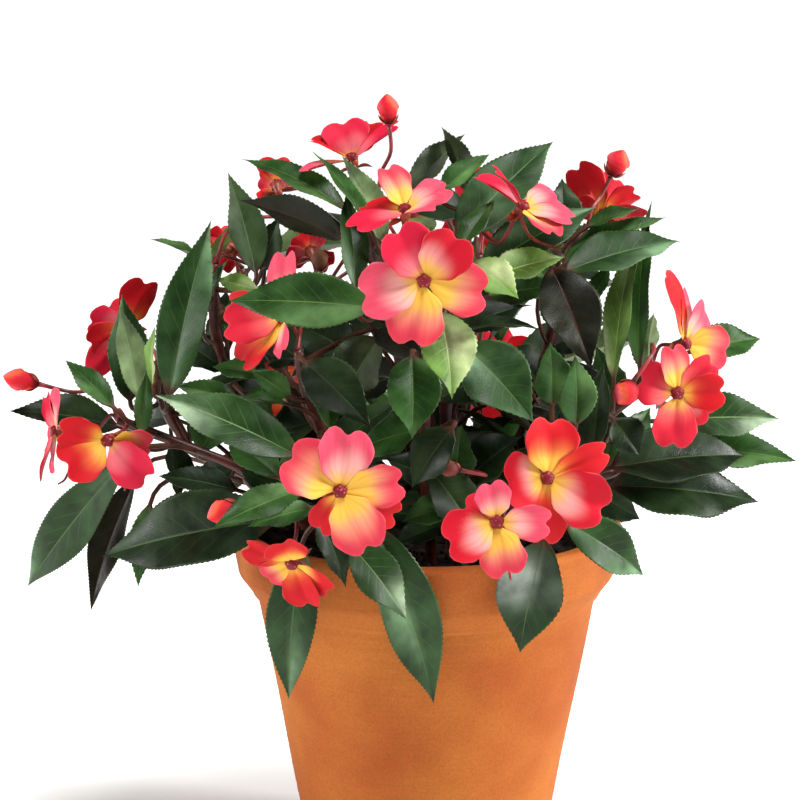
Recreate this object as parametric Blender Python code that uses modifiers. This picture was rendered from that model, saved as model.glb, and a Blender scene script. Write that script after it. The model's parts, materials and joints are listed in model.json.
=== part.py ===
"""Busy lizzie in a terracotta pot: pot, soil, leafy stems, blooms and buds.

Metres, +Z up. The origin is the centre of the pot's foot. The plant was placed from one
picture, taken from -Y: a leaf or bloom is given by the picture points it covers and by its
layer in the crown, from 1 on the side towards the viewer to -1 on the far side.
"""
import math

import bmesh
import bpy
import numpy as np
from mathutils import Matrix, Vector
from mathutils.bvhtree import BVHTree

MM = 0.001
GAP = 0.3 * MM

# The picture's sight lines
VIEW_DISTANCE = 1300 * MM
VIEW_RISE = math.radians(11)
VIEW_AIM = Vector((-13.6, 0, 243)) * MM
PIXELS_PER_METRE = 1973
PICTURE_MIDDLE = 400

# The crown: how far it reaches towards the viewer, less and less towards its outline
CROWN_DEPTH = 132 * MM
CROWN_MIDDLE = (405, 400)
CROWN_HALF_WIDTH = 420
CROWN_HALF_UP = 330
CROWN_HALF_DOWN = 420
CROWN_THINNEST = 0.08

# Pot and soil
TURNED_STEPS = 24
POT_HEIGHT = 180 * MM
POT_RIM_RADIUS = 100 * MM
POT_FOOT_RADIUS = 59 * MM
POT_BAND_HEIGHT = 34 * MM
POT_BAND_RADIUS = 88.5 * MM
POT_WALL = 7 * MM
POT_FLOOR = 9 * MM
POT_FLARE = 10 * MM
POT_BAND_LEAN = 4 * MM
POT_EDGE = 2 * MM
POT_FOOT_EDGE = 1 * MM
SOIL_BELOW_RIM = 13 * MM
SOIL_TOP = POT_HEIGHT - SOIL_BELOW_RIM
BAND_FOOT = POT_HEIGHT - POT_BAND_HEIGHT
NECK_RADIUS = POT_BAND_RADIUS - POT_EDGE
INNER_RIM_RADIUS = POT_RIM_RADIUS - POT_WALL - POT_FOOT_EDGE

# Stems
ROOT_DEPTH = 12 * MM
ROOT_RADIUS = 3.0 * MM
STEM_TIP_RADIUS = 1.7 * MM
HOLE_RADIUS = 4.1 * MM
HOLE_SIDES = 5
STEM_LEAD = 5 * MM
STEM_SLACK = 1.2 * MM
LOWEST_TWIG = 12 * MM
TWIG_RADIUS = 1.1 * MM
TWIG_RISE = 0.35
TWIG_MEET = 0.4
TWIG_BULGES = (0, 0.2, -0.3, 0.4, -0.6, 0.7, 1.0)
TWIG_STARTS = (0, 0.35, 0.7, 1)
LONG_TWIG = 50 * MM
SHORT_TWIG = 12 * MM

# Leaves and petals
BLADE_THICKNESS = 0.85 * MM
STALK_WIDTH = 2.4 * MM
STALK_THICKNESS = 1.8 * MM
STALK_FOOT = 1.0 * MM
STALK_BOW = 0.45
STALK_BACK = 0.2
LONG_STALK = 40 * MM
LEAF_FOLD = 0.26
PETAL_THICKNESS = 0.8 * MM
PETAL_TWIST = math.radians(8)
PETAL_BOW = 0.06
PETAL_CUP = 0.12
CLEAR = 0.5 * MM

# Blooms and buds
EYE_RADIUS = 3.2 * MM
EYE_FRONT = 2.2 * MM
CALYX_LENGTH = 6 * MM
CALYX_FOOT = 1.7 * MM
SPUR_RADIUS = 0.8 * MM
SPUR_HANG = Vector((0.25, 0, -1))
SPUR_MARKS = ((3 * MM, 1 * MM), (9 * MM, 11 * MM), (6 * MM, 23 * MM))

# Faces that lie as flat as this are one, and points as near as this are one
FLAT = 0.001
WELD = 0.01 * MM
FINE_WELD = 0.002 * MM

# Each stem: its root on the soil in mm, then picture x, y and layer along it
STEMS = {
    "far_left": ((-52, 4), [(262, 492, 0.12), (236, 466, 0.15), (172, 438, 0.16), (118, 420, 0.15)]),
    "left_up": ((-38, 26), [(228, 470, -0.1), (186, 440, -0.08), (163, 405, 0.0), (158, 362, 0.06)]),
    "left_mid": ((-20, 40), [(262, 440, -0.3), (222, 360, -0.15), (214, 300, -0.02), (216, 264, 0.0)]),
    "low_left": ((-48, -28), [(300, 520, 0.6), (292, 498, 0.72), (300, 472, 0.76)]),
    "front_left": ((-22, -50), [(352, 520, 0.7), (338, 512, 0.84), (326, 500, 0.9)]),
    "mid_left": ((-28, -8), [(330, 450, 0.25), (306, 390, 0.48), (298, 350, 0.52)]),
    "centre": ((2, -40), [(424, 440, 0.58), (428, 370, 0.8), (424, 316, 0.84)]),
    "top_left": ((-8, 8), [(408, 400, 0.12), (384, 310, 0.2), (372, 240, 0.26), (378, 196, 0.2)]),
    "top_right": ((14, 10), [(446, 400, 0.02), (462, 310, 0.15), (466, 240, 0.26), (464, 206, 0.26)]),
    "right_top": ((34, 24), [(530, 410, -0.2), (556, 320, -0.02), (568, 262, 0.1), (588, 226, 0.08)]),
    "right_mid": ((48, 6), [(560, 450, 0.02), (612, 412, 0.2), (650, 384, 0.22)]),
    "right_low": ((50, -22), [(560, 494, 0.32), (592, 480, 0.36), (620, 470, 0.36)]),
    "front_right": ((24, -50), [(512, 510, 0.62), (540, 480, 0.8), (560, 446, 0.7)]),
    "inner": ((12, -14), [(448, 510, 0.3), (462, 486, 0.42)]),
}

# Each leaf: heel x, y, layer, tip x, y, layer, width in pixels, roll in degrees, arch
LEAVES = {
    "far_left": [
        (120, 427, 0.1, 9, 411, 0.05, 50, 35, 0.05),
        (112, 406, 0.2, 65, 360, 0.3, 28, 20, 0.04),
        (142, 434, 0.3, 147, 370, 0.36, 20, 10, 0.03),
        (120, 465, 0.15, 27, 587, 0.3, 52, 10, 0.06),
        (134, 480, -0.52, 91, 611, 0.8, 40, 150, 0.05),
        (150, 505, 0.1, 138, 588, 0.2, 30, 20, 0.04),
    ],
    "left_up": [
        (170, 395, 0.35, 212, 218, 0.15, 54, 20, 0.05),
        (130, 400, 0.2, 122, 294, 0.2, 46, 15, 0.05),
        (140, 398, 0.34, 119, 306, 0.34, 34, 165, 0.04),
        (153, 384, 0.44, 155, 326, 0.5, 26, 65, 0.03),
        (240, 402, 0.28, 172, 385, 0.38, 28, 25, 0.04),
        (176, 420, -0.1, 150, 440, -0.9, 56, 72, 0.1),
    ],
    "left_mid": [
        (206, 264, 0.0, 150, 239, 0.1, 30, 76, 0.05),
        (256, 272, 0.1, 228, 172, 0.0, 42, 155, 0.04),
        (221, 280, 0.15, 262, 292, 0.25, 24, 30, 0.03),
        (206, 312, 0.2, 228, 259, 0.25, 26, 68, 0.03),
        (262, 270, -0.2, 280, 216, -0.2, 36, 25, 0.04),
        (244, 420, -0.2, 292, 470, 0.1, 60, 40, 0.05),
        (220, 306, -0.2, 204, 318, -0.68, 48, 72, 0.1),
    ],
    "low_left": [
        (298, 456, 0.8, 155, 395, 0.74, 58, 24, 0.06),
        (276, 520, 0.72, 102, 557, 0.6, 84, 24, 0.06),
        (300, 490, 0.92, 211, 529, 1.0, 38, 20, 0.05),
        (312, 508, 0.84, 247, 527, 0.9, 34, 30, 0.05),
        (236, 490, 0.46, 157, 476, 0.44, 36, 35, 0.04),
    ],
    "front_left": [
        (318, 512, 0.94, 346, 588, 1.04, 34, 25, 0.05),
        (346, 540, 0.95, 407, 620, 1.04, 50, 20, 0.08),
        (376, 526, 0.86, 434, 705, 0.98, 62, 12, 0.1),
        (302, 545, 0.84, 289, 700, 0.92, 54, 14, 0.08),
    ],
    "mid_left": [
        (305, 362, 0.62, 372, 428, 0.76, 56, 15, 0.07),
        (322, 376, 0.78, 330, 432, 0.84, 42, 20, 0.05),
        (258, 374, 0.42, 212, 367, 0.46, 26, 30, 0.03),
        (290, 396, 0.52, 250, 370, 0.58, 28, 20, 0.04),
        (286, 404, 0.5, 235, 399, 0.55, 28, 68, 0.03),
        (378, 338, 0.5, 342, 402, 0.6, 64, 150, 0.04),
    ],
    "centre": [
        (440, 312, 0.98, 452, 400, 1.08, 62, 15, 0.08),
        (412, 356, 0.88, 412, 440, 1.0, 58, 10, 0.07),
        (466, 346, 0.86, 534, 422, 0.96, 72, 15, 0.06),
        (375, 307, 0.84, 228, 301, 0.76, 60, 18, 0.05),
        (474, 262, 0.8, 519, 299, 0.86, 42, 20, 0.04),
    ],
    "top_left": [
        (345, 209, 0.3, 241, 159, 0.15, 38, 50, 0.06),
        (343, 238, 0.46, 239, 200, 0.4, 46, 140, 0.05),
        (385, 240, 0.62, 342, 155, 0.5, 36, 155, 0.05),
        (368, 226, 0.5, 312, 151, 0.42, 30, 60, 0.04),
        (355, 288, 0.6, 345, 190, 0.52, 34, 30, 0.04),
        (410, 190, 0.2, 465, 134, 0.0, 34, 145, 0.05),
        (415, 196, 0.4, 456, 184, 0.36, 26, 64, 0.03),
        (398, 440, 0.1, 326, 476, 0.3, 60, 40, 0.05),
        (372, 236, 0.1, 346, 232, -0.6, 60, 72, 0.1),
    ],
    "top_right": [
        (470, 192, 0.2, 441, 126, 0.0, 32, 140, 0.04),
        (440, 192, 0.3, 490, 154, 0.2, 30, 40, 0.04),
        (457, 236, 0.44, 554, 141, 0.15, 60, 20, 0.05),
        (462, 246, 0.7, 495, 200, 0.62, 30, 40, 0.04),
        (482, 270, 0.5, 598, 207, 0.48, 62, 35, 0.05),
        (490, 277, 0.66, 565, 257, 0.66, 44, 40, 0.04),
        (488, 297, 0.5, 560, 286, 0.5, 40, 35, 0.04),
        (452, 440, 0.0, 524, 486, 0.1, 60, 40, 0.05),
        (440, 400, -0.1, 396, 480, -0.3, 60, 40, 0.05),
        (466, 240, 0.1, 494, 236, -0.6, 60, 72, 0.1),
    ],
    "right_top": [
        (552, 268, 0.56, 592, 370, 0.72, 64, 15, 0.06),
        (565, 272, 0.5, 682, 241, 0.4, 56, 42, 0.05),
        (562, 266, 0.36, 667, 217, 0.24, 48, 58, 0.05),
        (588, 227, 0.24, 640, 209, 0.22, 32, 62, 0.04),
        (562, 236, 0.1, 562, 178, 0.0, 40, 20, 0.04),
        (592, 304, 0.24, 612, 262, 0.24, 24, 40, 0.03),
        (536, 400, -0.15, 590, 440, -0.3, 60, 40, 0.05),
        (568, 272, -0.1, 600, 290, -0.8, 60, 72, 0.1),
    ],
    "right_mid": [
        (614, 378, 0.46, 641, 222, 0.26, 36, 40, 0.05),
        (640, 368, 0.4, 652, 200, 0.16, 34, 40, 0.05),
        (646, 372, 0.5, 654, 312, 0.46, 36, 145, 0.03),
        (614, 420, 0.5, 640, 456, 0.56, 42, 20, 0.05),
        (672, 420, 0.0, 780, 419, -0.1, 52, 25, 0.05),
        (690, 450, -0.1, 797, 461, -0.16, 46, 35, 0.05),
        (690, 352, -0.1, 762, 339, -0.2, 44, 30, 0.05),
        (634, 396, 0.0, 656, 410, -0.56, 46, 72, 0.1),
    ],
    "right_low": [
        (612, 468, 0.52, 749, 456, 0.34, 72, 35, 0.05),
        (610, 486, 0.42, 759, 502, 0.3, 70, 25, 0.06),
    ],
    "front_right": [
        (545, 540, 0.88, 520, 653, 1.0, 70, 12, 0.09),
        (566, 522, 0.82, 644, 576, 0.84, 52, 20, 0.08),
        (576, 424, 0.74, 575, 355, 0.8, 42, 20, 0.04),
        (552, 404, 0.66, 550, 342, 0.7, 44, 20, 0.04),
        (594, 447, 0.62, 604, 362, 0.66, 36, 25, 0.04),
    ],
    "inner": [
        (448, 488, 0.42, 384, 458, 0.5, 52, 30, 0.04),
        (452, 506, 0.6, 402, 522, 0.66, 36, 30, 0.04),
        (470, 476, 0.5, 522, 436, 0.56, 54, 30, 0.04),
        (456, 476, 0.5, 462, 424, 0.56, 46, 20, 0.04),
        (448, 524, 0.5, 390, 546, 0.6, 34, 35, 0.04),
    ],
}

# Each bloom: its stem, eye x, y, layer, the way it faces (x, y, z), the point of the stem that
# its stalk leaves, and its petals: tip x, y, depth in mm from the eye, width in pixels
BLOOMS = {
    "centre": ("centre", (424, 281, 1.06), (0.05, -1, 0.2), (424, 330), [
        (395, 227, -2, 56), (460, 234, -3, 56), (488, 294, 1, 56), (411, 346, -5, 60), (359, 298, -1, 60)]),
    "upper_centre": ("top_left", (405, 211, 0.78), (0, -0.5, 1), (372, 240), [
        (386, 166, 6, 40), (362, 207, 10, 40), (351, 230, -18, 40), (440, 206, -20, 40), (450, 187, 8, 40)]),
    "upper_right": ("top_right", (522, 208, 0.62), (0.55, -0.35, 0.9), (466, 240), [
        (475, 176, 4, 40), (493, 168, -14, 36), (560, 200, 8, 44), (575, 221, -6, 40), (555, 236, -20, 36)]),
    "top": ("top_left", (352, 160, 0.1), (-0.25, -0.25, 1), (378, 200), [
        (342, 120, 10, 50), (310, 140, -2, 40), (373, 121, 14, 46), (399, 124, -8, 34), (303, 172, -16, 34)]),
    "top_right": ("right_top", (602, 216, -0.1), (0.15, 0.7, 0.7), (588, 228), [
        (574, 165, 4, 44), (615, 176, 8, 46), (638, 192, 2, 40), (649, 218, -4, 40), (572, 206, -2, 36),
        (628, 260, 2, 40)]),
    "front_left": ("front_left", (340, 491, 1.1), (0.05, -1, 0.15), (330, 504), [
        (286, 454, -2, 62), (348, 427, -1, 58), (405, 482, 2, 46), (370, 551, -6, 58), (399, 517, 8, 42),
        (318, 532, 6, 34)]),
    "front_middle": ("front_right", (497, 522, 1.2), (-0.1, -1, 0.25), (512, 510), [
        (490, 481, 0, 38), (462, 506, 4, 40), (445, 545, -4, 58), (508, 577, -5, 50), (552, 523, -4, 38)]),
    "front_right": ("front_right", (547, 478, 0.98), (0.2, -1, 0.15), (546, 476), [
        (551, 417, 2, 60), (608, 450, 8, 36), (606, 512, -2, 60), (543, 544, 0, 46), (504, 484, -5, 62)]),
    "right": ("right_mid", (677, 393, 0.62), (0.25, -1, 0.1), (640, 392), [
        (637, 379, -2, 46), (671, 344, -2, 34), (714, 361, 6, 36), (726, 390, 0, 40), (712, 416, 4, 36),
        (672, 448, -4, 48)]),
    "right_back": ("right_mid", (684, 344, 0.15), (0.9, -0.6, 0.2), (650, 386), [
        (664, 272, -6, 40), (681, 286, 12, 34), (705, 306, 14, 44), (729, 352, 2, 48)]),
    "left": ("far_left", (108, 440, 0.66), (-0.3, -1, -0.1), (134, 424), [
        (57, 431, -10, 40), (62, 468, -12, 56), (149, 480, -2, 56), (152, 446, 4, 38)]),
    "left_edge": ("far_left", (57, 432, 0.16), (-1, -0.25, 0.1), (120, 420), [
        (46, 393, 8, 40), (60, 392, -14, 36), (41, 481, 2, 40), (54, 470, -18, 34), (48, 440, 22, 34)]),
    "low_left": ("low_left", (292, 562, 1.0), (-0.1, -1, -0.75), (298, 500), [
        (243, 545, -4, 34), (282, 540, -20, 44), (266, 578, 4, 38), (309, 607, 6, 42), (331, 592, -2, 46)]),
    "mid_left": ("mid_left", (284, 318, 0.42), (-0.75, -0.7, 0.1), (298, 352), [
        (286, 250, 4, 40), (226, 302, 14, 34), (223, 326, -2, 46), (240, 366, 2, 48), (284, 354, -18, 34)]),
    "left_back": ("left_up", (127, 328, -0.25), (-0.3, 0.8, 0.35), (158, 366), [
        (148, 279, 2, 46), (107, 304, 4, 36), (88, 322, 0, 38), (88, 346, -4, 36), (92, 374, -2, 34)]),
    "inner_left": ("left_mid", (230, 246, -0.3), (-0.5, 0.6, 0.4), (216, 266), [
        (207, 240, 2, 34), (219, 227, 4, 34), (246, 228, 2, 34), (222, 272, -2, 34)]),
    "far_top_left": ("left_mid", (277, 186, -0.4), (-0.2, 0.7, 0.6), (216, 266), [
        (276, 156, 4, 42), (258, 178, 4, 34), (300, 176, 4, 34), (268, 208, -4, 34)]),
    "inner_top": ("top_left", (311, 252, -0.3), (-0.2, 0.6, 0.5), (384, 310), [
        (297, 234, 4, 32), (323, 233, 4, 32), (288, 262, 0, 32), (330, 268, 0, 32)]),
}

# Each bud: its stem, base x, y, layer, tip x, y, depth in mm from the base, width in pixels, stalk
BUDS = {
    "top": ("top_left", (389, 124, 0.16), (387, 94, 0), 22, (378, 198)),
    "top_right": ("right_top", (611, 176, 0.0), (624, 150, 0), 25, (588, 228)),
    "left": ("far_left", (38, 384, 0.1), (3, 376, -4), 23, (122, 421)),
    "low_left": ("low_left", (238, 505, 1.04), (207, 518, -4), 25, (294, 497)),
    "right": ("right_mid", (633, 382, 0.72), (618, 404, -6), 25, (634, 396)),
    "inner_top": ("top_left", (321, 270, 0.1), (319, 249, -2), 18, (384, 310)),
    "inner": ("inner", (459, 470, 0.7), (439, 466, -4), 18, (462, 488)),
}

# The far side: these stems stand again, turned round the pot's axis by so many degrees
FAR_SIDE = {
    "back_right": ("low_left", 184),
    "back_low": ("front_left", 180),
    "back_centre": ("centre", 165),
    "back_left": ("front_right", 192),
    "back_high": ("mid_left", 222),
    "back_side": ("centre", 244),
}
FAR_BLOOMS = {"back_centre": "centre", "back_low": "front_left", "back_left": "front_right"}
FAR_BUDS = {"back_right": "low_left"}

# Shifts tried in turn, in mm along the sight line, until a piece is clear of all the others
SHIFTS = [0, -5, 5, -10, 10, -16, 16, -23, 23, -31, 31]
SPARE_SHIFTS = [-40, 40, -50, 50]
SHRINKS = [1, 0.85, 0.68]
STALK_DROPS = [8 * MM, -12 * MM, 28 * MM, 55 * MM]


def remove_all():
    """Empties the file."""
    for obj in list(bpy.data.objects):
        bpy.data.objects.remove(obj, do_unlink=True)


def material(name, colour, roughness, metallic=0.0):
    """One finish: colour in linear values."""
    made = bpy.data.materials.new(name)
    made.use_nodes = True
    shader = made.node_tree.nodes["Principled BSDF"]
    shader.inputs["Base Color"].default_value = (*colour, 1)
    shader.inputs["Roughness"].default_value = roughness
    shader.inputs["Metallic"].default_value = metallic
    return made


def collection(name):
    """A new collection in the scene."""
    made = bpy.data.collections.new(name)
    bpy.context.scene.collection.children.link(made)
    return made


# Sight lines

FORWARD = Vector((0, math.cos(VIEW_RISE), -math.sin(VIEW_RISE)))
UPWARD = Vector((0, math.sin(VIEW_RISE), math.cos(VIEW_RISE)))
EYE = VIEW_AIM - FORWARD * VIEW_DISTANCE
PIXELS_DEEP = PIXELS_PER_METRE * VIEW_DISTANCE


def sight(px, py, depth):
    """The point at world y = depth on the sight line through a picture point."""
    ray = (FORWARD * PIXELS_DEEP + Vector((1, 0, 0)) * (px - PICTURE_MIDDLE)
           + UPWARD * (PICTURE_MIDDLE - py))
    return EYE + ray * ((depth - EYE.y) / ray.y)


def crown(px, py, layer):
    """The point of a crown layer behind a picture point."""
    half = CROWN_HALF_DOWN if py > CROWN_MIDDLE[1] else CROWN_HALF_UP
    across = (px - CROWN_MIDDLE[0]) / CROWN_HALF_WIDTH
    along = (py - CROWN_MIDDLE[1]) / half
    bulge = math.sqrt(max(CROWN_THINNEST, 1 - across ** 2 - along ** 2))
    return sight(px, py, -layer * CROWN_DEPTH * bulge)


def picture_size(pixels, point):
    """The real length of a picture length at a point."""
    return pixels * (point - EYE).dot(FORWARD) / PIXELS_DEEP


def turn_round(name):
    """The turn round the pot's axis that takes a stem of the near side to its place."""
    return Matrix.Rotation(math.radians(FAR_SIDE[name][1]), 3, "Z") if name in FAR_SIDE else Matrix.Identity(3)


# Surfaces of leaves and petals

def leaf_surface(leaf, u, v):
    """Points of a leaf, u along its rib from heel to tip and v across it from -1 to 1.

    The rib is a parabola that stands arch times the length over its chord. The half width is a
    sine that is drawn out towards the tip, and both halves lift from the rib by the fold.
    """
    heel, tip, normal = (np.array(leaf[key]) for key in ("heel", "tip", "normal"))
    length = np.linalg.norm(tip - heel)
    along = (tip - heel) / length
    side = np.cross(along, normal)
    u, v = np.asarray(u, float)[..., None], np.asarray(v, float)[..., None]
    slope = 4 * leaf["arch"] * (1 - 2 * u)
    lift = (normal - along * slope) / np.sqrt(1 + slope ** 2)
    rib = heel + along * length * u + normal * leaf["arch"] * length * 4 * u * (1 - u)
    half = 0.5 * leaf["width"] * np.sin(np.pi * np.clip(u, 0, 1) ** 0.8) ** (0.85 + 0.5 * u)
    half = np.maximum(half, STALK_WIDTH / 2 * (u < 0.5))
    fold = leaf["fold"]
    return rib + half * (side * v * math.cos(fold) + lift * np.abs(v) * math.sin(fold))


def petal_surface(petal, u, v):
    """Points of a petal, u from its claw to its end and v across it from -1 to 1.

    The petal is a wedge that reaches its full width at two thirds of its length. Its end is
    rounded off to both sides and notched in the middle, and it bows back a little.
    """
    heel, tip, normal = (np.array(petal[key]) for key in ("heel", "tip", "normal"))
    length = np.linalg.norm(tip - heel)
    along = (tip - heel) / length
    side = np.cross(along, normal)
    u, v = np.asarray(u, float)[..., None], np.asarray(v, float)[..., None]
    reach = u * (1 - 0.11 * np.exp(-(v / 0.22) ** 2) - 0.34 * np.abs(v) ** 4)
    half = petal["width"] / 2 * (0.07 + 0.93 * np.sin(np.pi / 2 * np.minimum(reach / 0.66, 1)) ** 1.2)
    bow = petal["bow"] * length * 4 * reach * (1 - reach)
    cup = petal["cup"] * half * v ** 2
    return heel + along * length * reach + side * v * half + normal * (bow + cup)


# Where the surface of a leaf is sampled: the rib, then its teeth, each a point and a notch
RIB_LARGE = (0.3, 0.66)
TEETH_LARGE = ((0.12, 0.95), (0.36, 1.08), (0.43, 0.95), (0.66, 1.14), (0.73, 0.95))
RIB_SMALL = (0.42,)
TEETH_SMALL = ((0.2, 0.95), (0.52, 1.1), (0.6, 0.95))
LARGE_LEAF = 62 * MM
PETAL_POINTS = ((0, 0), (1, -1), (1, -0.62), (1, 0), (1, 0.62), (1, 1))


def strip(edge, rib):
    """Triangles between an edge and a rib that start apart and end in the same point."""
    faces = []
    i, j = 0, 0
    while i < len(edge) - 2 or j < len(rib) - 2:
        edge_share = (i + 1) / (len(edge) - 1)
        rib_share = (j + 1) / (len(rib) - 1)
        if j == len(rib) - 2 or (i < len(edge) - 2 and edge_share <= rib_share):
            faces.append((edge[i], edge[i + 1], rib[j]))
            i += 1
        else:
            faces.append((edge[i], rib[j + 1], rib[j]))
            j += 1
    return faces + [(edge[i], edge[-1], rib[j])]


def leaf_mesh(leaf):
    """Points and triangles of a leaf with its stalk, and which points belong to the stalk."""
    large = (leaf["tip"] - leaf["heel"]).length > LARGE_LEAF
    ribs, teeth = (RIB_LARGE, TEETH_LARGE) if large else (RIB_SMALL, TEETH_SMALL)
    u = [0, 0] + [t[0] for t in teeth] * 2 + list(ribs) + [1]
    v = [-1, 1] + [-t[1] for t in teeth] + [t[1] for t in teeth] + [0] * (len(ribs) + 1)
    points = [Vector(p) for p in leaf_surface(leaf, u, v)]
    count = len(teeth)
    left = [0] + list(range(2, 2 + count))
    right = [1] + list(range(2 + count, 2 + 2 * count))
    rib = list(range(2 + 2 * count, 2 + 2 * count + len(ribs)))
    tip = len(points) - 1
    faces = [(0, rib[0], 1)]
    faces += strip(left + [tip], rib + [tip])
    faces += [(a, c, b) for a, b, c in strip(right + [tip], rib + [tip])]
    stalk = [0, 1]
    path = stalk_path(leaf)
    side = (points[1] - points[0]).normalized()
    ahead = (path[-1] - path[-2]).normalized()
    last = (0, 1)
    for k in range(len(path) - 2, 0, -1):
        way = (path[k + 1] - path[k]).normalized()
        side = ahead.rotation_difference(way) @ side
        ahead = way
        points += [path[k] - side * STALK_WIDTH / 2, path[k] + side * STALK_WIDTH / 2]
        now = (len(points) - 2, len(points) - 1)
        faces += [(now[0], last[0], last[1]), (now[0], last[1], now[1])]
        stalk += now
        last = now
    points.append(path[0] + (path[0] - path[1]).normalized() * STALK_FOOT)
    faces.append((len(points) - 1, last[0], last[1]))
    stalk.append(len(points) - 1)
    return points, faces, stalk


def stalk_path(leaf):
    """The way of a leaf's stalk, from inside the stem to the leaf's heel."""
    start, heel = leaf["start"], leaf["heel"]
    span = (heel - start).length
    pieces = 2 if span < LONG_STALK else 3
    at_heel, past_heel = leaf_surface(leaf, [0, 0.02], [0, 0])
    turn = heel - (Vector(past_heel) - Vector(at_heel)).normalized() * span * STALK_BOW
    return [start.lerp(turn, t).lerp(turn.lerp(heel, t), t)
            for t in [k / pieces for k in range(pieces + 1)]]


def petal_mesh(petal):
    """Points and triangles of a petal."""
    points = [Vector(p) for p in petal_surface(petal, *zip(*PETAL_POINTS))]
    foot, left, left_lobe, notch, right_lobe, right = range(len(PETAL_POINTS))
    faces = [(foot, right, left), (left, notch, left_lobe), (left, right, notch), (right, right_lobe, notch)]
    return points, faces


def thickened(points, faces, half):
    """A closed skin round a thin sheet, for testing what it touches."""
    normals = [Vector() for _ in points]
    for face in faces:
        a, b, c = (points[i] for i in face)
        normal = (b - a).cross(c - a)
        for i in face:
            normals[i] += normal
    normals = [n.normalized() for n in normals]
    count = len(points)
    skin = [p + n * half for p, n in zip(points, normals)] + [p - n * half for p, n in zip(points, normals)]
    sides = {(f[k], f[(k + 1) % 3]) for f in faces for k in range(3)}
    border = sorted(s for s in sides if (s[1], s[0]) not in sides)
    closed = list(faces) + [tuple(i + count for i in reversed(f)) for f in faces]
    closed += [(b, a, a + count) for a, b in border] + [(b, a + count, b + count) for a, b in border]
    return skin, closed


# Clearance: every placed piece is kept with its owner, its tree and its box

PLACED = []


def boxed(points):
    """Lowest and highest corners."""
    array = np.array(points)
    return array.min(axis=0), array.max(axis=0)


def keep(owner, kind, points, faces):
    """Remembers a placed piece."""
    PLACED.append((owner, kind, BVHTree.FromPolygons(points, faces), *boxed(points)))


def touches(points, faces, but=()):
    """True if a skin meets a placed piece whose (owner, kind) isn't in but."""
    low, high = boxed(points)
    tree = None
    for owner, kind, other, other_low, other_high in PLACED:
        if (owner, kind) in but or (low > other_high).any() or (high < other_low).any():
            continue
        tree = tree or BVHTree.FromPolygons(points, faces)
        if tree.overlap(other):
            return True
    return False


# Tubes

def smooth(points, pieces):
    """A Catmull-Rom curve through points, each span in so many pieces."""
    ends = [points[0] * 2 - points[1]] + list(points) + [points[-1] * 2 - points[-2]]
    way = []
    for a, b, c, d in zip(ends, ends[1:], ends[2:], ends[3:]):
        for k in range(pieces):
            t = k / pieces
            way.append(0.5 * (2 * b + (c - a) * t + (2 * a - 5 * b + 4 * c - d) * t ** 2
                              + (3 * b - a - 3 * c + d) * t ** 3))
    return way + [points[-1]]


def thinned(way, slack):
    """A way without the points that lie within the slack of a straight line between others."""
    kept = [way[0], way[1]]
    for point, after in zip(way[2:], way[3:]):
        line = after - kept[-1]
        along = line.normalized()
        if (point - kept[-1] - along * (point - kept[-1]).dot(along)).length > slack:
            kept.append(point)
    return kept + [way[-1]]


def tube(name, way, radii, sides, group):
    """A round tube along a way, as a closed mesh object."""
    curve = bpy.data.curves.new(name, "CURVE")
    curve.dimensions = "3D"
    curve.bevel_depth = 1.0
    curve.bevel_resolution = (sides - 4) // 2
    curve.use_fill_caps = True
    spline = curve.splines.new("POLY")
    spline.points.add(len(way) - 1)
    for point, place, radius in zip(spline.points, way, radii):
        point.co = (*place, 1)
        point.radius = radius
    obj = bpy.data.objects.new(name, curve)
    group.objects.link(obj)
    return meshed(obj, group)


def meshed(obj, group):
    """Replaces an object by the mesh that it evaluates to, in world places, caps welded."""
    evaluated = obj.evaluated_get(bpy.context.evaluated_depsgraph_get())
    mesh = bpy.data.meshes.new_from_object(evaluated)
    mesh.transform(obj.matrix_world)
    shape = bmesh.new()
    shape.from_mesh(mesh)
    bmesh.ops.remove_doubles(shape, verts=shape.verts, dist=WELD)
    bmesh.ops.recalc_face_normals(shape, faces=shape.faces)
    bmesh.ops.dissolve_limit(shape, angle_limit=FLAT, verts=shape.verts, edges=shape.edges)
    bmesh.ops.triangulate(shape, faces=shape.faces)
    shape.to_mesh(mesh)
    shape.free()
    name = obj.name
    bpy.data.objects.remove(obj, do_unlink=True)
    made = bpy.data.objects.new(name, mesh)
    group.objects.link(made)
    return made


# Turned pieces

def turned(name, profile, steps, group, place=Matrix.Identity(4)):
    """A solid turned round its z axis from a profile of (radius, height), top to bottom."""
    mesh = bpy.data.meshes.new(name)
    mesh.from_pydata([(r, 0, z) for r, z in profile], [(k, k + 1) for k in range(len(profile) - 1)], [])
    obj = bpy.data.objects.new(name, mesh)
    group.objects.link(obj)
    screw = obj.modifiers.new("Turned", "SCREW")
    screw.steps = steps
    screw.render_steps = steps
    screw.use_merge_vertices = True
    screw.merge_threshold = WELD
    obj.matrix_world = place
    bpy.context.view_layer.update()
    return obj


def turned_skin(profile):
    """The skin of a turned piece, for testing."""
    turns = [2 * math.pi * k / TURNED_STEPS for k in range(TURNED_STEPS)]
    points = [Vector((r * math.cos(t), r * math.sin(t), z)) for r, z in profile for t in turns]
    rows = range(len(profile) - 1)
    ring = [(k, (k + 1) % TURNED_STEPS) for k in range(TURNED_STEPS)]
    faces = [(n * TURNED_STEPS + a, n * TURNED_STEPS + b, (n + 1) * TURNED_STEPS + b, (n + 1) * TURNED_STEPS + a)
             for n in rows for a, b in ring]
    return points, faces


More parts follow.
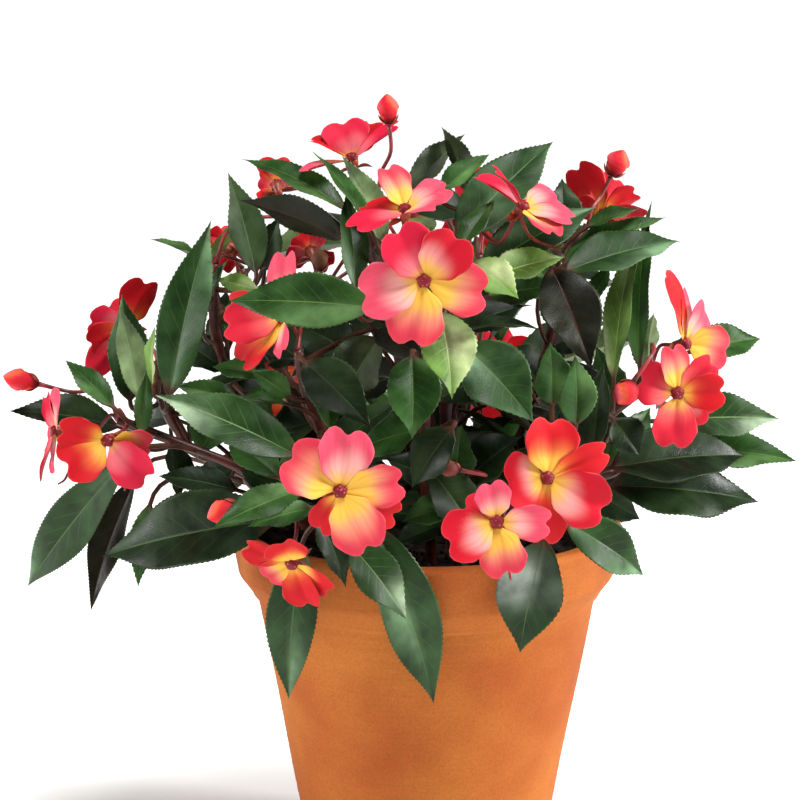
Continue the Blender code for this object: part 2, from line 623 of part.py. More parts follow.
def band_radius(height):
    """Outer radius of the rim band above its lower edge: it flares, then stands nearly upright."""
    t = min(height / POT_FLARE, 1)
    swell = (POT_RIM_RADIUS - POT_BAND_LEAN - POT_BAND_RADIUS) * (1 - (1 - t) ** 2)
    lean = POT_BAND_LEAN * max(0, (height - POT_FLARE) / (POT_BAND_HEIGHT - POT_FLARE))
    return POT_BAND_RADIUS + swell + lean


def inner_radius(height):
    """Radius of the pot's inner wall at a height."""
    if height > BAND_FOOT:
        slope = (INNER_RIM_RADIUS - inner_radius(BAND_FOOT)) / POT_BAND_HEIGHT
        return INNER_RIM_RADIUS + slope * (height - POT_HEIGHT)
    return POT_FOOT_RADIUS - POT_WALL + (NECK_RADIUS - POT_FOOT_RADIUS) / BAND_FOOT * height


def pot_profile():
    """Radius and height along the pot's wall, from the middle of its floor up inside and down outside."""
    inside = [(0, POT_FLOOR)] + [(inner_radius(h), h) for h in (POT_FLOOR, BAND_FOOT, POT_HEIGHT)]
    rim = [(POT_RIM_RADIUS - POT_EDGE, POT_HEIGHT), (POT_RIM_RADIUS, POT_HEIGHT - POT_EDGE)]
    band = [(band_radius(h), BAND_FOOT + h) for h in (POT_FLARE, POT_FLARE / 2, 0)]
    wall = [(NECK_RADIUS, BAND_FOOT - POT_EDGE), (POT_FOOT_RADIUS + POT_FOOT_EDGE, POT_EDGE)]
    return inside + rim + band + wall + [(POT_FOOT_RADIUS - POT_FOOT_EDGE, 0), (0, 0)]


def soil_profile():
    """Radius and height along the soil, from its middle out and down to the pot's floor."""
    low = POT_FLOOR + GAP
    wall = [(inner_radius(h) - GAP, h) for h in (SOIL_TOP, BAND_FOOT, low)]
    return [(0, SOIL_TOP)] + wall + [(0, low)]


def pot(group):
    """The terracotta pot: tapered wall, flared rim band and a flat foot."""
    obj = turned("pot", pot_profile(), TURNED_STEPS, group)
    obj.data.materials.append(material("terracotta", (0.60, 0.21, 0.075), 0.75))


def soil(group, cutters):
    """The soil that fills the pot, with a plain hole for each stem."""
    obj = turned("soil", soil_profile(), TURNED_STEPS, group)
    obj.data.materials.append(material("potting_soil", (0.022, 0.014, 0.010), 0.95))
    for name in ALL_STEMS:
        shape = bmesh.new()
        bmesh.ops.create_cone(shape, cap_ends=True, segments=HOLE_SIDES, radius1=HOLE_RADIUS,
                              radius2=HOLE_RADIUS, depth=2 * (ROOT_DEPTH + GAP))
        mesh = bpy.data.meshes.new("hole_" + name)
        shape.to_mesh(mesh)
        shape.free()
        cutter = bpy.data.objects.new("hole_" + name, mesh)
        cutter.location = stem_root(name)
        cutters.objects.link(cutter)
        cutter.hide_render = True
        cutter.display_type = "WIRE"
    cut = obj.modifiers.new("Stem holes", "BOOLEAN")
    cut.operand_type = "COLLECTION"
    cut.collection = cutters
    cut.operation = "DIFFERENCE"
    meshed(obj, group)
    for cutter in list(cutters.objects):
        bpy.data.objects.remove(cutter, do_unlink=True)


# Placing

ALL_STEMS = list(STEMS) + list(FAR_SIDE)


def near_name(name):
    """The stem of the near side whose table a stem follows."""
    return FAR_SIDE[name][0] if name in FAR_SIDE else name


def stem_root(name):
    """Where a stem leaves the soil."""
    root = STEMS[near_name(name)][0]
    return turn_round(name) @ Vector((root[0] * MM, root[1] * MM, SOIL_TOP))


def stem_way(name):
    """The middle line of a stem, from the foot of its hole to its head."""
    foot = stem_root(name)
    points = [turn_round(name) @ crown(*mark) for mark in STEMS[near_name(name)][1]]
    lead = foot + Vector((0, 0, STEM_LEAD))
    return thinned([foot - Vector((0, 0, ROOT_DEPTH))] + smooth([lead] + points, 4), STEM_SLACK)


def nearest_on(way, place, pieces=6):
    """The point of a way that is nearest to a place, clear of the soil."""
    points = [a.lerp(b, (k + 1) / pieces) for a, b in zip(way[1:], way[2:]) for k in range(pieces)]
    clear = [p for p in points if p.z > SOIL_TOP + LOWEST_TWIG]
    return min(clear, key=lambda p: (p - place).length)


def in_picture(point):
    """Picture x and y of a world point."""
    ray = point - EYE
    scale = PIXELS_DEEP / ray.dot(FORWARD)
    return PICTURE_MIDDLE + ray.x * scale, PICTURE_MIDDLE - ray.dot(UPWARD) * scale


def leaf_row(row, stem):
    """A leaf's heel, tip, normal and sizes in the world."""
    heel, tip = crown(*row[0:3]), crown(*row[3:6])
    width = picture_size(row[6], (heel + tip) / 2)
    axis = (tip - heel).normalized()
    to_eye = EYE - (heel + tip) / 2
    to_eye = (to_eye - axis * to_eye.dot(axis)).normalized()
    across = axis.cross(to_eye)
    if across.z < 0:
        across = -across
    roll = math.radians(row[7])
    normal = to_eye * math.cos(roll) + across * math.sin(roll)
    turn = turn_round(stem)
    return {"heel": turn @ heel, "tip": turn @ tip, "normal": turn @ normal, "width": width,
            "ray": turn @ (tip - EYE).normalized(), "arch": row[8], "fold": LEAF_FOLD}


def shifted_leaf(leaf, heel_shift, tip_shift, shrink):
    """A leaf moved along the sight line and shortened towards its tip."""
    moved = dict(leaf)
    moved["tip"] = leaf["tip"] + leaf["ray"] * tip_shift * MM
    moved["heel"] = moved["tip"].lerp(leaf["heel"] + leaf["ray"] * heel_shift * MM, shrink)
    axis = (moved["tip"] - moved["heel"]).normalized()
    moved["normal"] = (leaf["normal"] - axis * leaf["normal"].dot(axis)).normalized()
    moved["width"] = leaf["width"] * shrink
    return moved


def place_leaf(stem, leaf, way):
    """The first shift of a leaf, and way for its stalk, that are clear of all other pieces."""
    shifts = SHIFTS + SPARE_SHIFTS
    tries = sorted(((h, t) for h in shifts for t in shifts), key=lambda s: (abs(s[0]) + abs(s[1]), s))
    for shrink in SHRINKS:
        for heel_shift, tip_shift in tries:
            moved = shifted_leaf(leaf, heel_shift, tip_shift, shrink)
            back = (moved["heel"] - moved["tip"]) * STALK_BACK
            for drop in STALK_DROPS:
                moved["start"] = nearest_on(way, moved["heel"] + back - Vector((0, 0, drop)))
                points, faces, stalk = leaf_mesh(moved)
                blade = [f for f in faces if not set(f) <= set(stalk)]
                if drop == STALK_DROPS[0] and touches(*thickened(points, blade, BLADE_THICKNESS / 2 + CLEAR)):
                    break
                skin = thickened(points, faces, BLADE_THICKNESS / 2 + CLEAR)
                if not touches(*skin, but=((stem, "stem"),)):
                    keep(stem, "leaf", *thickened(points, faces, BLADE_THICKNESS / 2))
                    return moved
    return None


def bloom_row(row, stem):
    """A bloom's eye, facing and petals in the world."""
    _, eye_mark, facing, stalk_mark, tips = row
    eye = crown(*eye_mark)
    facing = Vector(facing).normalized()
    petals = [(sight(px, py, eye.y + depth * MM), picture_size(width, eye)) for px, py, depth, width in tips]
    turn = turn_round(stem)
    return {"eye": turn @ eye, "facing": turn @ facing, "ray": turn @ (eye - EYE).normalized(),
            "petals": [(turn @ tip, width) for tip, width in petals], "stalk": stalk_mark}


def petal_list(bloom):
    """Petals round the eye, each turned a little about its length, so that it lies over the next."""
    facing, eye = bloom["facing"], bloom["eye"]
    petals = []
    for tip, width in bloom["petals"]:
        axis = (tip - eye).normalized()
        normal = (facing - axis * facing.dot(axis)).normalized()
        normal = Matrix.Rotation(PETAL_TWIST, 3, axis) @ normal
        petals.append({"heel": eye + axis * EYE_RADIUS * 0.5, "tip": tip, "normal": normal,
                       "width": width, "bow": PETAL_BOW, "cup": PETAL_CUP})
    return petals


def spur_way(bloom):
    """The thin spur behind a bloom: it leaves the calyx, hangs and curls up at its end."""
    facing, eye = bloom["facing"], bloom["eye"]
    down = (SPUR_HANG - facing * SPUR_HANG.dot(facing)).normalized()
    return [eye - facing * behind + down * below for behind, below in SPUR_MARKS]


def turned_to(place, axis):
    """Matrix that stands a turned piece at a place with its z along an axis."""
    return Matrix.Translation(place) @ axis.to_track_quat("Z", "Y").to_matrix().to_4x4()


def bloom_skins(bloom, extra):
    """Skins of a bloom's petals and calyx, for testing."""
    skins = [thickened(*petal_mesh(p), PETAL_THICKNESS / 2 + extra) for p in petal_list(bloom)]
    facing, eye = bloom["facing"], bloom["eye"]
    skins.append(rod_skin(eye + facing * EYE_FRONT, eye - facing * (CALYX_LENGTH - extra), EYE_RADIUS + extra))
    way = spur_way(bloom)
    skins += [rod_skin(a, b, SPUR_RADIUS + extra) for a, b in zip(way, way[1:])]
    return skins


def rod_skin(start, end, radius, sides=6):
    """A straight rod with closed ends, for testing."""
    frame = turned_to(start, (end - start).normalized())
    length = (end - start).length
    ring = [(math.cos(2 * math.pi * k / sides) * radius, math.sin(2 * math.pi * k / sides) * radius)
            for k in range(sides)]
    points = [frame @ Vector((x, y, z)) for z in (0, length) for x, y in ring]
    faces = [tuple(range(sides)), tuple(range(sides, 2 * sides))]
    faces += [(k, (k + 1) % sides, (k + 1) % sides + sides, k + sides) for k in range(sides)]
    return points, faces


def twig_way(start, foot, facing, bulge):
    """The way of a flower stalk: a cubic bow that leaves the stem upwards and meets the calyx."""
    span = (foot - start).length
    first = start + Vector((0, 0, 1)) * span * (TWIG_RISE + bulge)
    last = foot - facing * span * TWIG_MEET
    pieces = 3 if span < LONG_TWIG else 4
    way = []
    for k in range(pieces + 1):
        t = k / pieces
        way.append(start * (1 - t) ** 3 + first * 3 * t * (1 - t) ** 2 + last * 3 * t * t * (1 - t) + foot * t ** 3)
    if span > SHORT_TWIG:
        way[-2] = way[-1] - facing * (way[-1] - way[-2]).length
    return way


def place_twig(stem, way, mark, foot, facing):
    """A flower stalk from the marked point of the stem that is clear of all other pieces."""
    back = turn_round(stem).transposed()
    marked = min(way[2:], key=lambda p: math.dist(in_picture(back @ p), mark))
    near = nearest_on(way, foot)
    for share in TWIG_STARTS:
        start = nearest_on(way, marked.lerp(near, share))
        for bulge in TWIG_BULGES:
            twig = twig_way(start, foot, facing, bulge)
            skins = [rod_skin(a, b, TWIG_RADIUS + CLEAR) for a, b in zip(twig, twig[1:])]
            first = rod_skin(twig[0].lerp(twig[1], 0.3), twig[1], TWIG_RADIUS + CLEAR)
            if not any(touches(*s, but=((stem, "stem"),)) for s in [first] + skins[1:]):
                for a, b in zip(twig, twig[1:]):
                    keep(stem, "twig", *rod_skin(a, b, TWIG_RADIUS))
                return twig
    return None


def place_bloom(name, row, stem, way):
    """A bloom and its stalk, at the first depth where both are clear."""
    bloom = bloom_row(row, stem)
    for shift in SHIFTS + SPARE_SHIFTS:
        move = bloom["ray"] * shift * MM
        moved = dict(bloom)
        moved["eye"] = bloom["eye"] + move
        moved["petals"] = [(tip + move, width) for tip, width in bloom["petals"]]
        if any(touches(*skin) for skin in bloom_skins(moved, CLEAR)):
            continue
        foot = moved["eye"] - moved["facing"] * (CALYX_LENGTH + GAP)
        twig = place_twig(stem, way, bloom["stalk"], foot, moved["facing"])
        if twig:
            for skin in bloom_skins(moved, 0):
                keep(name, "bloom", *skin)
            moved["twig"] = twig
            return moved
    return None


def bud_row(row, stem):
    """A bud's base, tip and width in the world."""
    _, base_mark, tip_mark, width, stalk_mark = row
    base = crown(*base_mark)
    tip = sight(tip_mark[0], tip_mark[1], base.y + tip_mark[2] * MM)
    turn = turn_round(stem)
    return {"base": turn @ base, "tip": turn @ tip, "ray": turn @ (base - EYE).normalized(),
            "width": picture_size(width, base), "stalk": stalk_mark}


def place_bud(name, row, stem, way):
    """A bud and its stalk, at the first depth where both are clear."""
    bud = bud_row(row, stem)
    for shift in SHIFTS + SPARE_SHIFTS:
        move = bud["ray"] * shift * MM
        moved = dict(bud, base=bud["base"] + move, tip=bud["tip"] + move)
        skin = rod_skin(moved["base"], moved["tip"], moved["width"] / 2 + CLEAR)
        if touches(*skin):
            continue
        facing = (moved["tip"] - moved["base"]).normalized()
        twig = place_twig(stem, way, bud["stalk"], moved["base"] - facing * GAP, facing)
        if twig:
            keep(name, "bud", *rod_skin(moved["base"], moved["tip"], moved["width"] / 2))
            moved["twig"] = twig
            return moved
    return None


# Solids

def sheet_object(name, points, faces, thickness, group, stalk=()):
    """A thin sheet with Solidify, its stalk thicker than its blade."""
    mesh = bpy.data.meshes.new(name)
    mesh.from_pydata([tuple(p) for p in points], [], faces)
    obj = bpy.data.objects.new(name, mesh)
    group.objects.link(obj)
    solid = obj.modifiers.new("Thickness", "SOLIDIFY")
    solid.offset = 0
    solid.thickness = thickness
    if stalk:
        solid.thickness = STALK_THICKNESS
        solid.thickness_vertex_group = thickness / STALK_THICKNESS
        weight = obj.vertex_groups.new(name="stalk")
        weight.add(list(stalk), 1.0, "REPLACE")
        solid.vertex_group = "stalk"
    return meshed(obj, group)


def is_closed(shape):
    """True if every edge lies between two faces."""
    return all(len(edge.link_faces) == 2 for edge in shape.edges)


def united(base, parts, solver):
    """The union of a base object and a collection of parts, as a bmesh."""
    union = base.modifiers.new("Grown together", "BOOLEAN")
    union.operand_type = "COLLECTION"
    union.collection = parts
    union.operation = "UNION"
    union.solver = solver
    bpy.context.view_layer.update()
    mesh = bpy.data.meshes.new_from_object(base.evaluated_get(bpy.context.evaluated_depsgraph_get()))
    base.modifiers.remove(union)
    shape = bmesh.new()
    shape.from_mesh(mesh)
    bpy.data.meshes.remove(mesh)
    return shape


def joined(name, base, parts, finish, group):
    """One closed body from a base object and a collection of parts."""
    shape = united(base, parts, "EXACT")
    if not is_closed(shape):
        shape = united(base, parts, "MANIFOLD")
    welded = shape.copy()
    bmesh.ops.remove_doubles(welded, verts=welded.verts, dist=FINE_WELD)
    if is_closed(welded):
        shape = welded
    bmesh.ops.dissolve_limit(shape, angle_limit=FLAT, verts=shape.verts, edges=shape.edges)
    bmesh.ops.triangulate(shape, faces=shape.faces)
    mesh = bpy.data.meshes.new(name)
    shape.to_mesh(mesh)
    mesh.materials.append(finish)
    bpy.data.objects.remove(base, do_unlink=True)
    for part in list(parts.objects):
        bpy.data.objects.remove(part, do_unlink=True)
    obj = bpy.data.objects.new(name, mesh)
    group.objects.link(obj)
    return obj


def stem_object(name, way, leaves, twigs, finish, group, parts):
    """A leafy stem: its stem, leaves and flower stalks as one body."""
    count = len(way)
    radii = [ROOT_RADIUS + (STEM_TIP_RADIUS - ROOT_RADIUS) * max(0, k - 1) / (count - 2) for k in range(count)]
    base = tube("base", way, radii, 6, group)
    for k, twig in enumerate(twigs):
        tube(f"twig_{k}", twig, [TWIG_RADIUS] * len(twig), 4, parts)
    for k, leaf in enumerate(leaves):
        points, faces, stalk = leaf_mesh(leaf)
        sheet_object(f"leaf_{k}", points, faces, BLADE_THICKNESS, parts, stalk)
    return joined("stem_" + name, base, parts, finish, group)


def bloom_object(name, bloom, finish, group, parts):
    """A bloom: eye, calyx, spur and petals as one body."""
    profile = [(0, EYE_FRONT), (EYE_RADIUS, EYE_FRONT * 0.7), (CALYX_FOOT, -CALYX_LENGTH), (0, -CALYX_LENGTH)]
    base = meshed(turned("base", profile, 6, group, turned_to(bloom["eye"], bloom["facing"])), group)
    way = spur_way(bloom)
    tube("spur", way, [SPUR_RADIUS * 1.5, SPUR_RADIUS, SPUR_RADIUS * 0.7], 4, parts)
    for k, petal in enumerate(petal_list(bloom)):
        sheet_object(f"petal_{k}", *petal_mesh(petal), PETAL_THICKNESS, parts)
    return joined("bloom_" + name, base, parts, finish, group)


def bud_object(name, bud, finish, group):
    """A bud, a drop that is widest before its middle and stands on a flat foot."""
    length = (bud["tip"] - bud["base"]).length
    half = bud["width"] / 2
    profile = [(0, length), (half * 0.62, length * 0.86), (half, length * 0.55), (half * 0.72, length * 0.2),
               (CALYX_FOOT, 0), (0, 0)]
    axis = (bud["tip"] - bud["base"]).normalized()
    obj = meshed(turned("bud_" + name, profile, 6, group, turned_to(bud["base"], axis)), group)
    obj.data.materials.append(finish)
    return obj


def plan():
    """Places stems, then blooms and buds with their stalks, then leaves, each clear of the rest."""
    keep("pot", "pot", *turned_skin(pot_profile()))
    keep("soil", "soil", *turned_skin(soil_profile()))
    ways = {name: stem_way(name) for name in ALL_STEMS}
    for name, way in ways.items():
        for a, b in zip(way[1:], way[2:]):
            if touches(*rod_skin(a, b, ROOT_RADIUS + CLEAR), but=((name, "stem"),)):
                print("stem crosses:", name, [round(c * 1000) for c in a])
            keep(name, "stem", *rod_skin(a, b, ROOT_RADIUS))
    placed = {"ways": ways, "twigs": {name: [] for name in ALL_STEMS}, "blooms": {}, "buds": {}, "leaves": {}}
    blooms = [(name, row, row[0]) for name, row in BLOOMS.items()]
    blooms += [(stem, BLOOMS[near], stem) for stem, near in FAR_BLOOMS.items()]
    for name, row, stem in blooms:
        bloom = place_bloom(name, row, stem, ways[stem])
        if bloom:
            placed["twigs"][stem].append(bloom["twig"])
            placed["blooms"][name] = bloom
        else:
            print("no room for bloom", name)
    buds = [(name, row, row[0]) for name, row in BUDS.items()]
    buds += [(stem, BUDS[near], stem) for stem, near in FAR_BUDS.items()]
    for name, row, stem in buds:
        bud = place_bud(name, row, stem, ways[stem])
        if bud:
            placed["twigs"][stem].append(bud["twig"])
            placed["buds"][name] = bud
        else:
            print("no room for bud", name)
    for name, way in ways.items():
        placed["leaves"][name] = []
        for row in LEAVES[near_name(name)]:
            leaf = place_leaf(name, leaf_row(row, name), way)
            if leaf:
                placed["leaves"][name].append(leaf)
            else:
                print("no room for leaf", name, row[:2])
    return placed


def build():
    """Places and makes the whole plant."""
    remove_all()
    plant = collection("busy_lizzie")
    cutters = collection("stem_holes")
    parts = collection("parts")
    green = material("leaf_green", (0.018, 0.085, 0.035), 0.45)
    coral = material("petal_coral", (0.80, 0.09, 0.08), 0.5)
    bud_red = material("bud_coral", (0.75, 0.10, 0.08), 0.45)
    pot(plant)
    soil(plant, cutters)
    placed = plan()
    for name, way in placed["ways"].items():
        stem_object(name, way, placed["leaves"][name], placed["twigs"][name], green, plant, parts)
    for name, bloom in placed["blooms"].items():
        bloom_object(name, bloom, coral, plant, parts)
    for name, bud in placed["buds"].items():
        bud_object(name, bud, bud_red, plant)


build()
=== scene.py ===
# %% [markdown]
# A busy lizzie in a terracotta pot, dressed for a studio picture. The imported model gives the
# frame: the plain pot, its soil and every leafy stem, bloom and bud as a simple solid. This
# lesson makes the finer pieces that stand for them, each exactly where its solid is.

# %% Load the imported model
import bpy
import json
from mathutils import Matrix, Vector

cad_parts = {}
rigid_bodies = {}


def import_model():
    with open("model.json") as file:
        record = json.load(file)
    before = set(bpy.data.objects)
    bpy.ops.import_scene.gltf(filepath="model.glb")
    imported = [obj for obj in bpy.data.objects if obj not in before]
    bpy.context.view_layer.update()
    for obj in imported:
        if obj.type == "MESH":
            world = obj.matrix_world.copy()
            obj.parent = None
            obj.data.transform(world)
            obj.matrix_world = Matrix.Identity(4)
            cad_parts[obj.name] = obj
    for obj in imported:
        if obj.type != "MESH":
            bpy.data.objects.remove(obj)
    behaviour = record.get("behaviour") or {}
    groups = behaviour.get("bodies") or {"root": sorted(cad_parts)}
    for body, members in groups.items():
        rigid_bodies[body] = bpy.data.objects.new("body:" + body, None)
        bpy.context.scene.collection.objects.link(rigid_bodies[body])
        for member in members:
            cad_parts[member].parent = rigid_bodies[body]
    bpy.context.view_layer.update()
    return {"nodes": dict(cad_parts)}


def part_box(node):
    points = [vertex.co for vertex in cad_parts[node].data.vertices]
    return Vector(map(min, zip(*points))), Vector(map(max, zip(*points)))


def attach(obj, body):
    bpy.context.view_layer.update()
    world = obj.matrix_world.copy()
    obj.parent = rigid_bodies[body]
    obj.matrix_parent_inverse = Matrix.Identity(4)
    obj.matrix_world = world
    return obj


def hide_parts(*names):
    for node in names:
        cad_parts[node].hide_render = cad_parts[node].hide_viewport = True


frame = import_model()
print("nodes:", len(frame["nodes"]))

# %% Modules
import json
import math

import bmesh
import bpy
import numpy as np
from mathutils import Matrix, Vector
from mathutils.bvhtree import BVHTree

# %% [markdown]
# The sizes are those of the solids: an eight inch pot, a crown about 400 mm wide. The plant was
# placed from one picture, so its sight lines come first. A picture point and a depth give one
# point in space, and a layer from 1 (near the viewer) to -1 (far side) gives the depth.

# %% Sizes and sight lines
MM = 0.001
GAP = 0.3 * MM

# The picture's sight lines
VIEW_DISTANCE = 1300 * MM
VIEW_RISE = math.radians(11)
VIEW_AIM = Vector((-13.6, 0, 243)) * MM
PIXELS_PER_METRE = 1973
PICTURE_MIDDLE = 400

# The crown: how far it reaches towards the viewer, less and less towards its outline
CROWN_DEPTH = 132 * MM
CROWN_MIDDLE = (405, 400)
CROWN_HALF_WIDTH = 420
CROWN_HALF_UP = 330
CROWN_HALF_DOWN = 420
CROWN_THINNEST = 0.08

# Pot and soil
TURNED_STEPS = 24
POT_HEIGHT = 180 * MM
POT_RIM_RADIUS = 100 * MM
POT_FOOT_RADIUS = 59 * MM
POT_BAND_HEIGHT = 34 * MM
POT_BAND_RADIUS = 88.5 * MM
POT_WALL = 7 * MM
POT_FLOOR = 9 * MM
POT_FLARE = 10 * MM
POT_BAND_LEAN = 4 * MM
POT_EDGE = 2 * MM
POT_FOOT_EDGE = 1 * MM
SOIL_BELOW_RIM = 13 * MM
SOIL_TOP = POT_HEIGHT - SOIL_BELOW_RIM
BAND_FOOT = POT_HEIGHT - POT_BAND_HEIGHT
NECK_RADIUS = POT_BAND_RADIUS - POT_EDGE
INNER_RIM_RADIUS = POT_RIM_RADIUS - POT_WALL - POT_FOOT_EDGE

# Stems
ROOT_DEPTH = 12 * MM
ROOT_RADIUS = 3.0 * MM
STEM_TIP_RADIUS = 1.7 * MM
STEM_LEAD = 5 * MM
STEM_SLACK = 1.2 * MM
LOWEST_TWIG = 12 * MM
TWIG_RADIUS = 1.1 * MM
TWIG_RISE = 0.35
TWIG_MEET = 0.4
TWIG_BULGES = (0, 0.2, -0.3, 0.4, -0.6, 0.7, 1.0)
TWIG_STARTS = (0, 0.35, 0.7, 1)
LONG_TWIG = 50 * MM
SHORT_TWIG = 12 * MM

# Leaves and petals
BLADE_THICKNESS = 0.85 * MM
STALK_WIDTH = 2.4 * MM
STALK_FOOT = 1.0 * MM
STALK_BOW = 0.45
STALK_BACK = 0.2
LONG_STALK = 40 * MM
LEAF_FOLD = 0.26
PETAL_THICKNESS = 0.8 * MM
PETAL_TWIST = math.radians(8)
PETAL_BOW = 0.06
PETAL_CUP = 0.12
CLEAR = 0.5 * MM

# Blooms and buds
EYE_RADIUS = 3.2 * MM
EYE_FRONT = 2.2 * MM
CALYX_LENGTH = 6 * MM
SPUR_RADIUS = 0.8 * MM
SPUR_HANG = Vector((0.25, 0, -1))
SPUR_MARKS = ((3 * MM, 1 * MM), (9 * MM, 11 * MM), (6 * MM, 23 * MM))

# The picture's forward and upward, its eye and its scale
FORWARD = Vector((0, math.cos(VIEW_RISE), -math.sin(VIEW_RISE)))
UPWARD = Vector((0, math.sin(VIEW_RISE), math.cos(VIEW_RISE)))
EYE = VIEW_AIM - FORWARD * VIEW_DISTANCE
PIXELS_DEEP = PIXELS_PER_METRE * VIEW_DISTANCE


def sight(px, py, depth):
    """The point at world y = depth on the sight line through a picture point."""
    ray = (FORWARD * PIXELS_DEEP + Vector((1, 0, 0)) * (px - PICTURE_MIDDLE)
           + UPWARD * (PICTURE_MIDDLE - py))
    return EYE + ray * ((depth - EYE.y) / ray.y)


def crown(px, py, layer):
    """The point of a crown layer behind a picture point."""
    half = CROWN_HALF_DOWN if py > CROWN_MIDDLE[1] else CROWN_HALF_UP
    across = (px - CROWN_MIDDLE[0]) / CROWN_HALF_WIDTH
    along = (py - CROWN_MIDDLE[1]) / half
    bulge = math.sqrt(max(CROWN_THINNEST, 1 - across ** 2 - along ** 2))
    return sight(px, py, -layer * CROWN_DEPTH * bulge)


def picture_size(pixels, point):
    """The real length of a picture length at a point."""
    return pixels * (point - EYE).dot(FORWARD) / PIXELS_DEEP


def in_picture(point):
    """Picture x and y of a world point."""
    ray = point - EYE
    scale = PIXELS_DEEP / ray.dot(FORWARD)
    return PICTURE_MIDDLE + ray.x * scale, PICTURE_MIDDLE - ray.dot(UPWARD) * scale


print("the eye stands", round(-EYE.y, 3), "m before the pot and", round(EYE.z, 3), "m high")

# %% [markdown]
# The whole plant is a few tables: the way of each stem, then its leaves, blooms and buds by the
# picture points that they cover. A table is easy to read against a picture and easy to mend.

# %% Stems
# Each stem: its root on the soil in mm, then picture x, y and layer along it
STEMS = {
    "far_left": ((-52, 4), [(262, 492, 0.12), (236, 466, 0.15), (172, 438, 0.16), (118, 420, 0.15)]),
    "left_up": ((-38, 26), [(228, 470, -0.1), (186, 440, -0.08), (163, 405, 0.0), (158, 362, 0.06)]),
    "left_mid": ((-20, 40), [(262, 440, -0.3), (222, 360, -0.15), (214, 300, -0.02), (216, 264, 0.0)]),
    "low_left": ((-48, -28), [(300, 520, 0.6), (292, 498, 0.72), (300, 472, 0.76)]),
    "front_left": ((-22, -50), [(352, 520, 0.7), (338, 512, 0.84), (326, 500, 0.9)]),
    "mid_left": ((-28, -8), [(330, 450, 0.25), (306, 390, 0.48), (298, 350, 0.52)]),
    "centre": ((2, -40), [(424, 440, 0.58), (428, 370, 0.8), (424, 316, 0.84)]),
    "top_left": ((-8, 8), [(408, 400, 0.12), (384, 310, 0.2), (372, 240, 0.26), (378, 196, 0.2)]),
    "top_right": ((14, 10), [(446, 400, 0.02), (462, 310, 0.15), (466, 240, 0.26), (464, 206, 0.26)]),
    "right_top": ((34, 24), [(530, 410, -0.2), (556, 320, -0.02), (568, 262, 0.1), (588, 226, 0.08)]),
    "right_mid": ((48, 6), [(560, 450, 0.02), (612, 412, 0.2), (650, 384, 0.22)]),
    "right_low": ((50, -22), [(560, 494, 0.32), (592, 480, 0.36), (620, 470, 0.36)]),
    "front_right": ((24, -50), [(512, 510, 0.62), (540, 480, 0.8), (560, 446, 0.7)]),
    "inner": ((12, -14), [(448, 510, 0.3), (462, 486, 0.42)]),
}

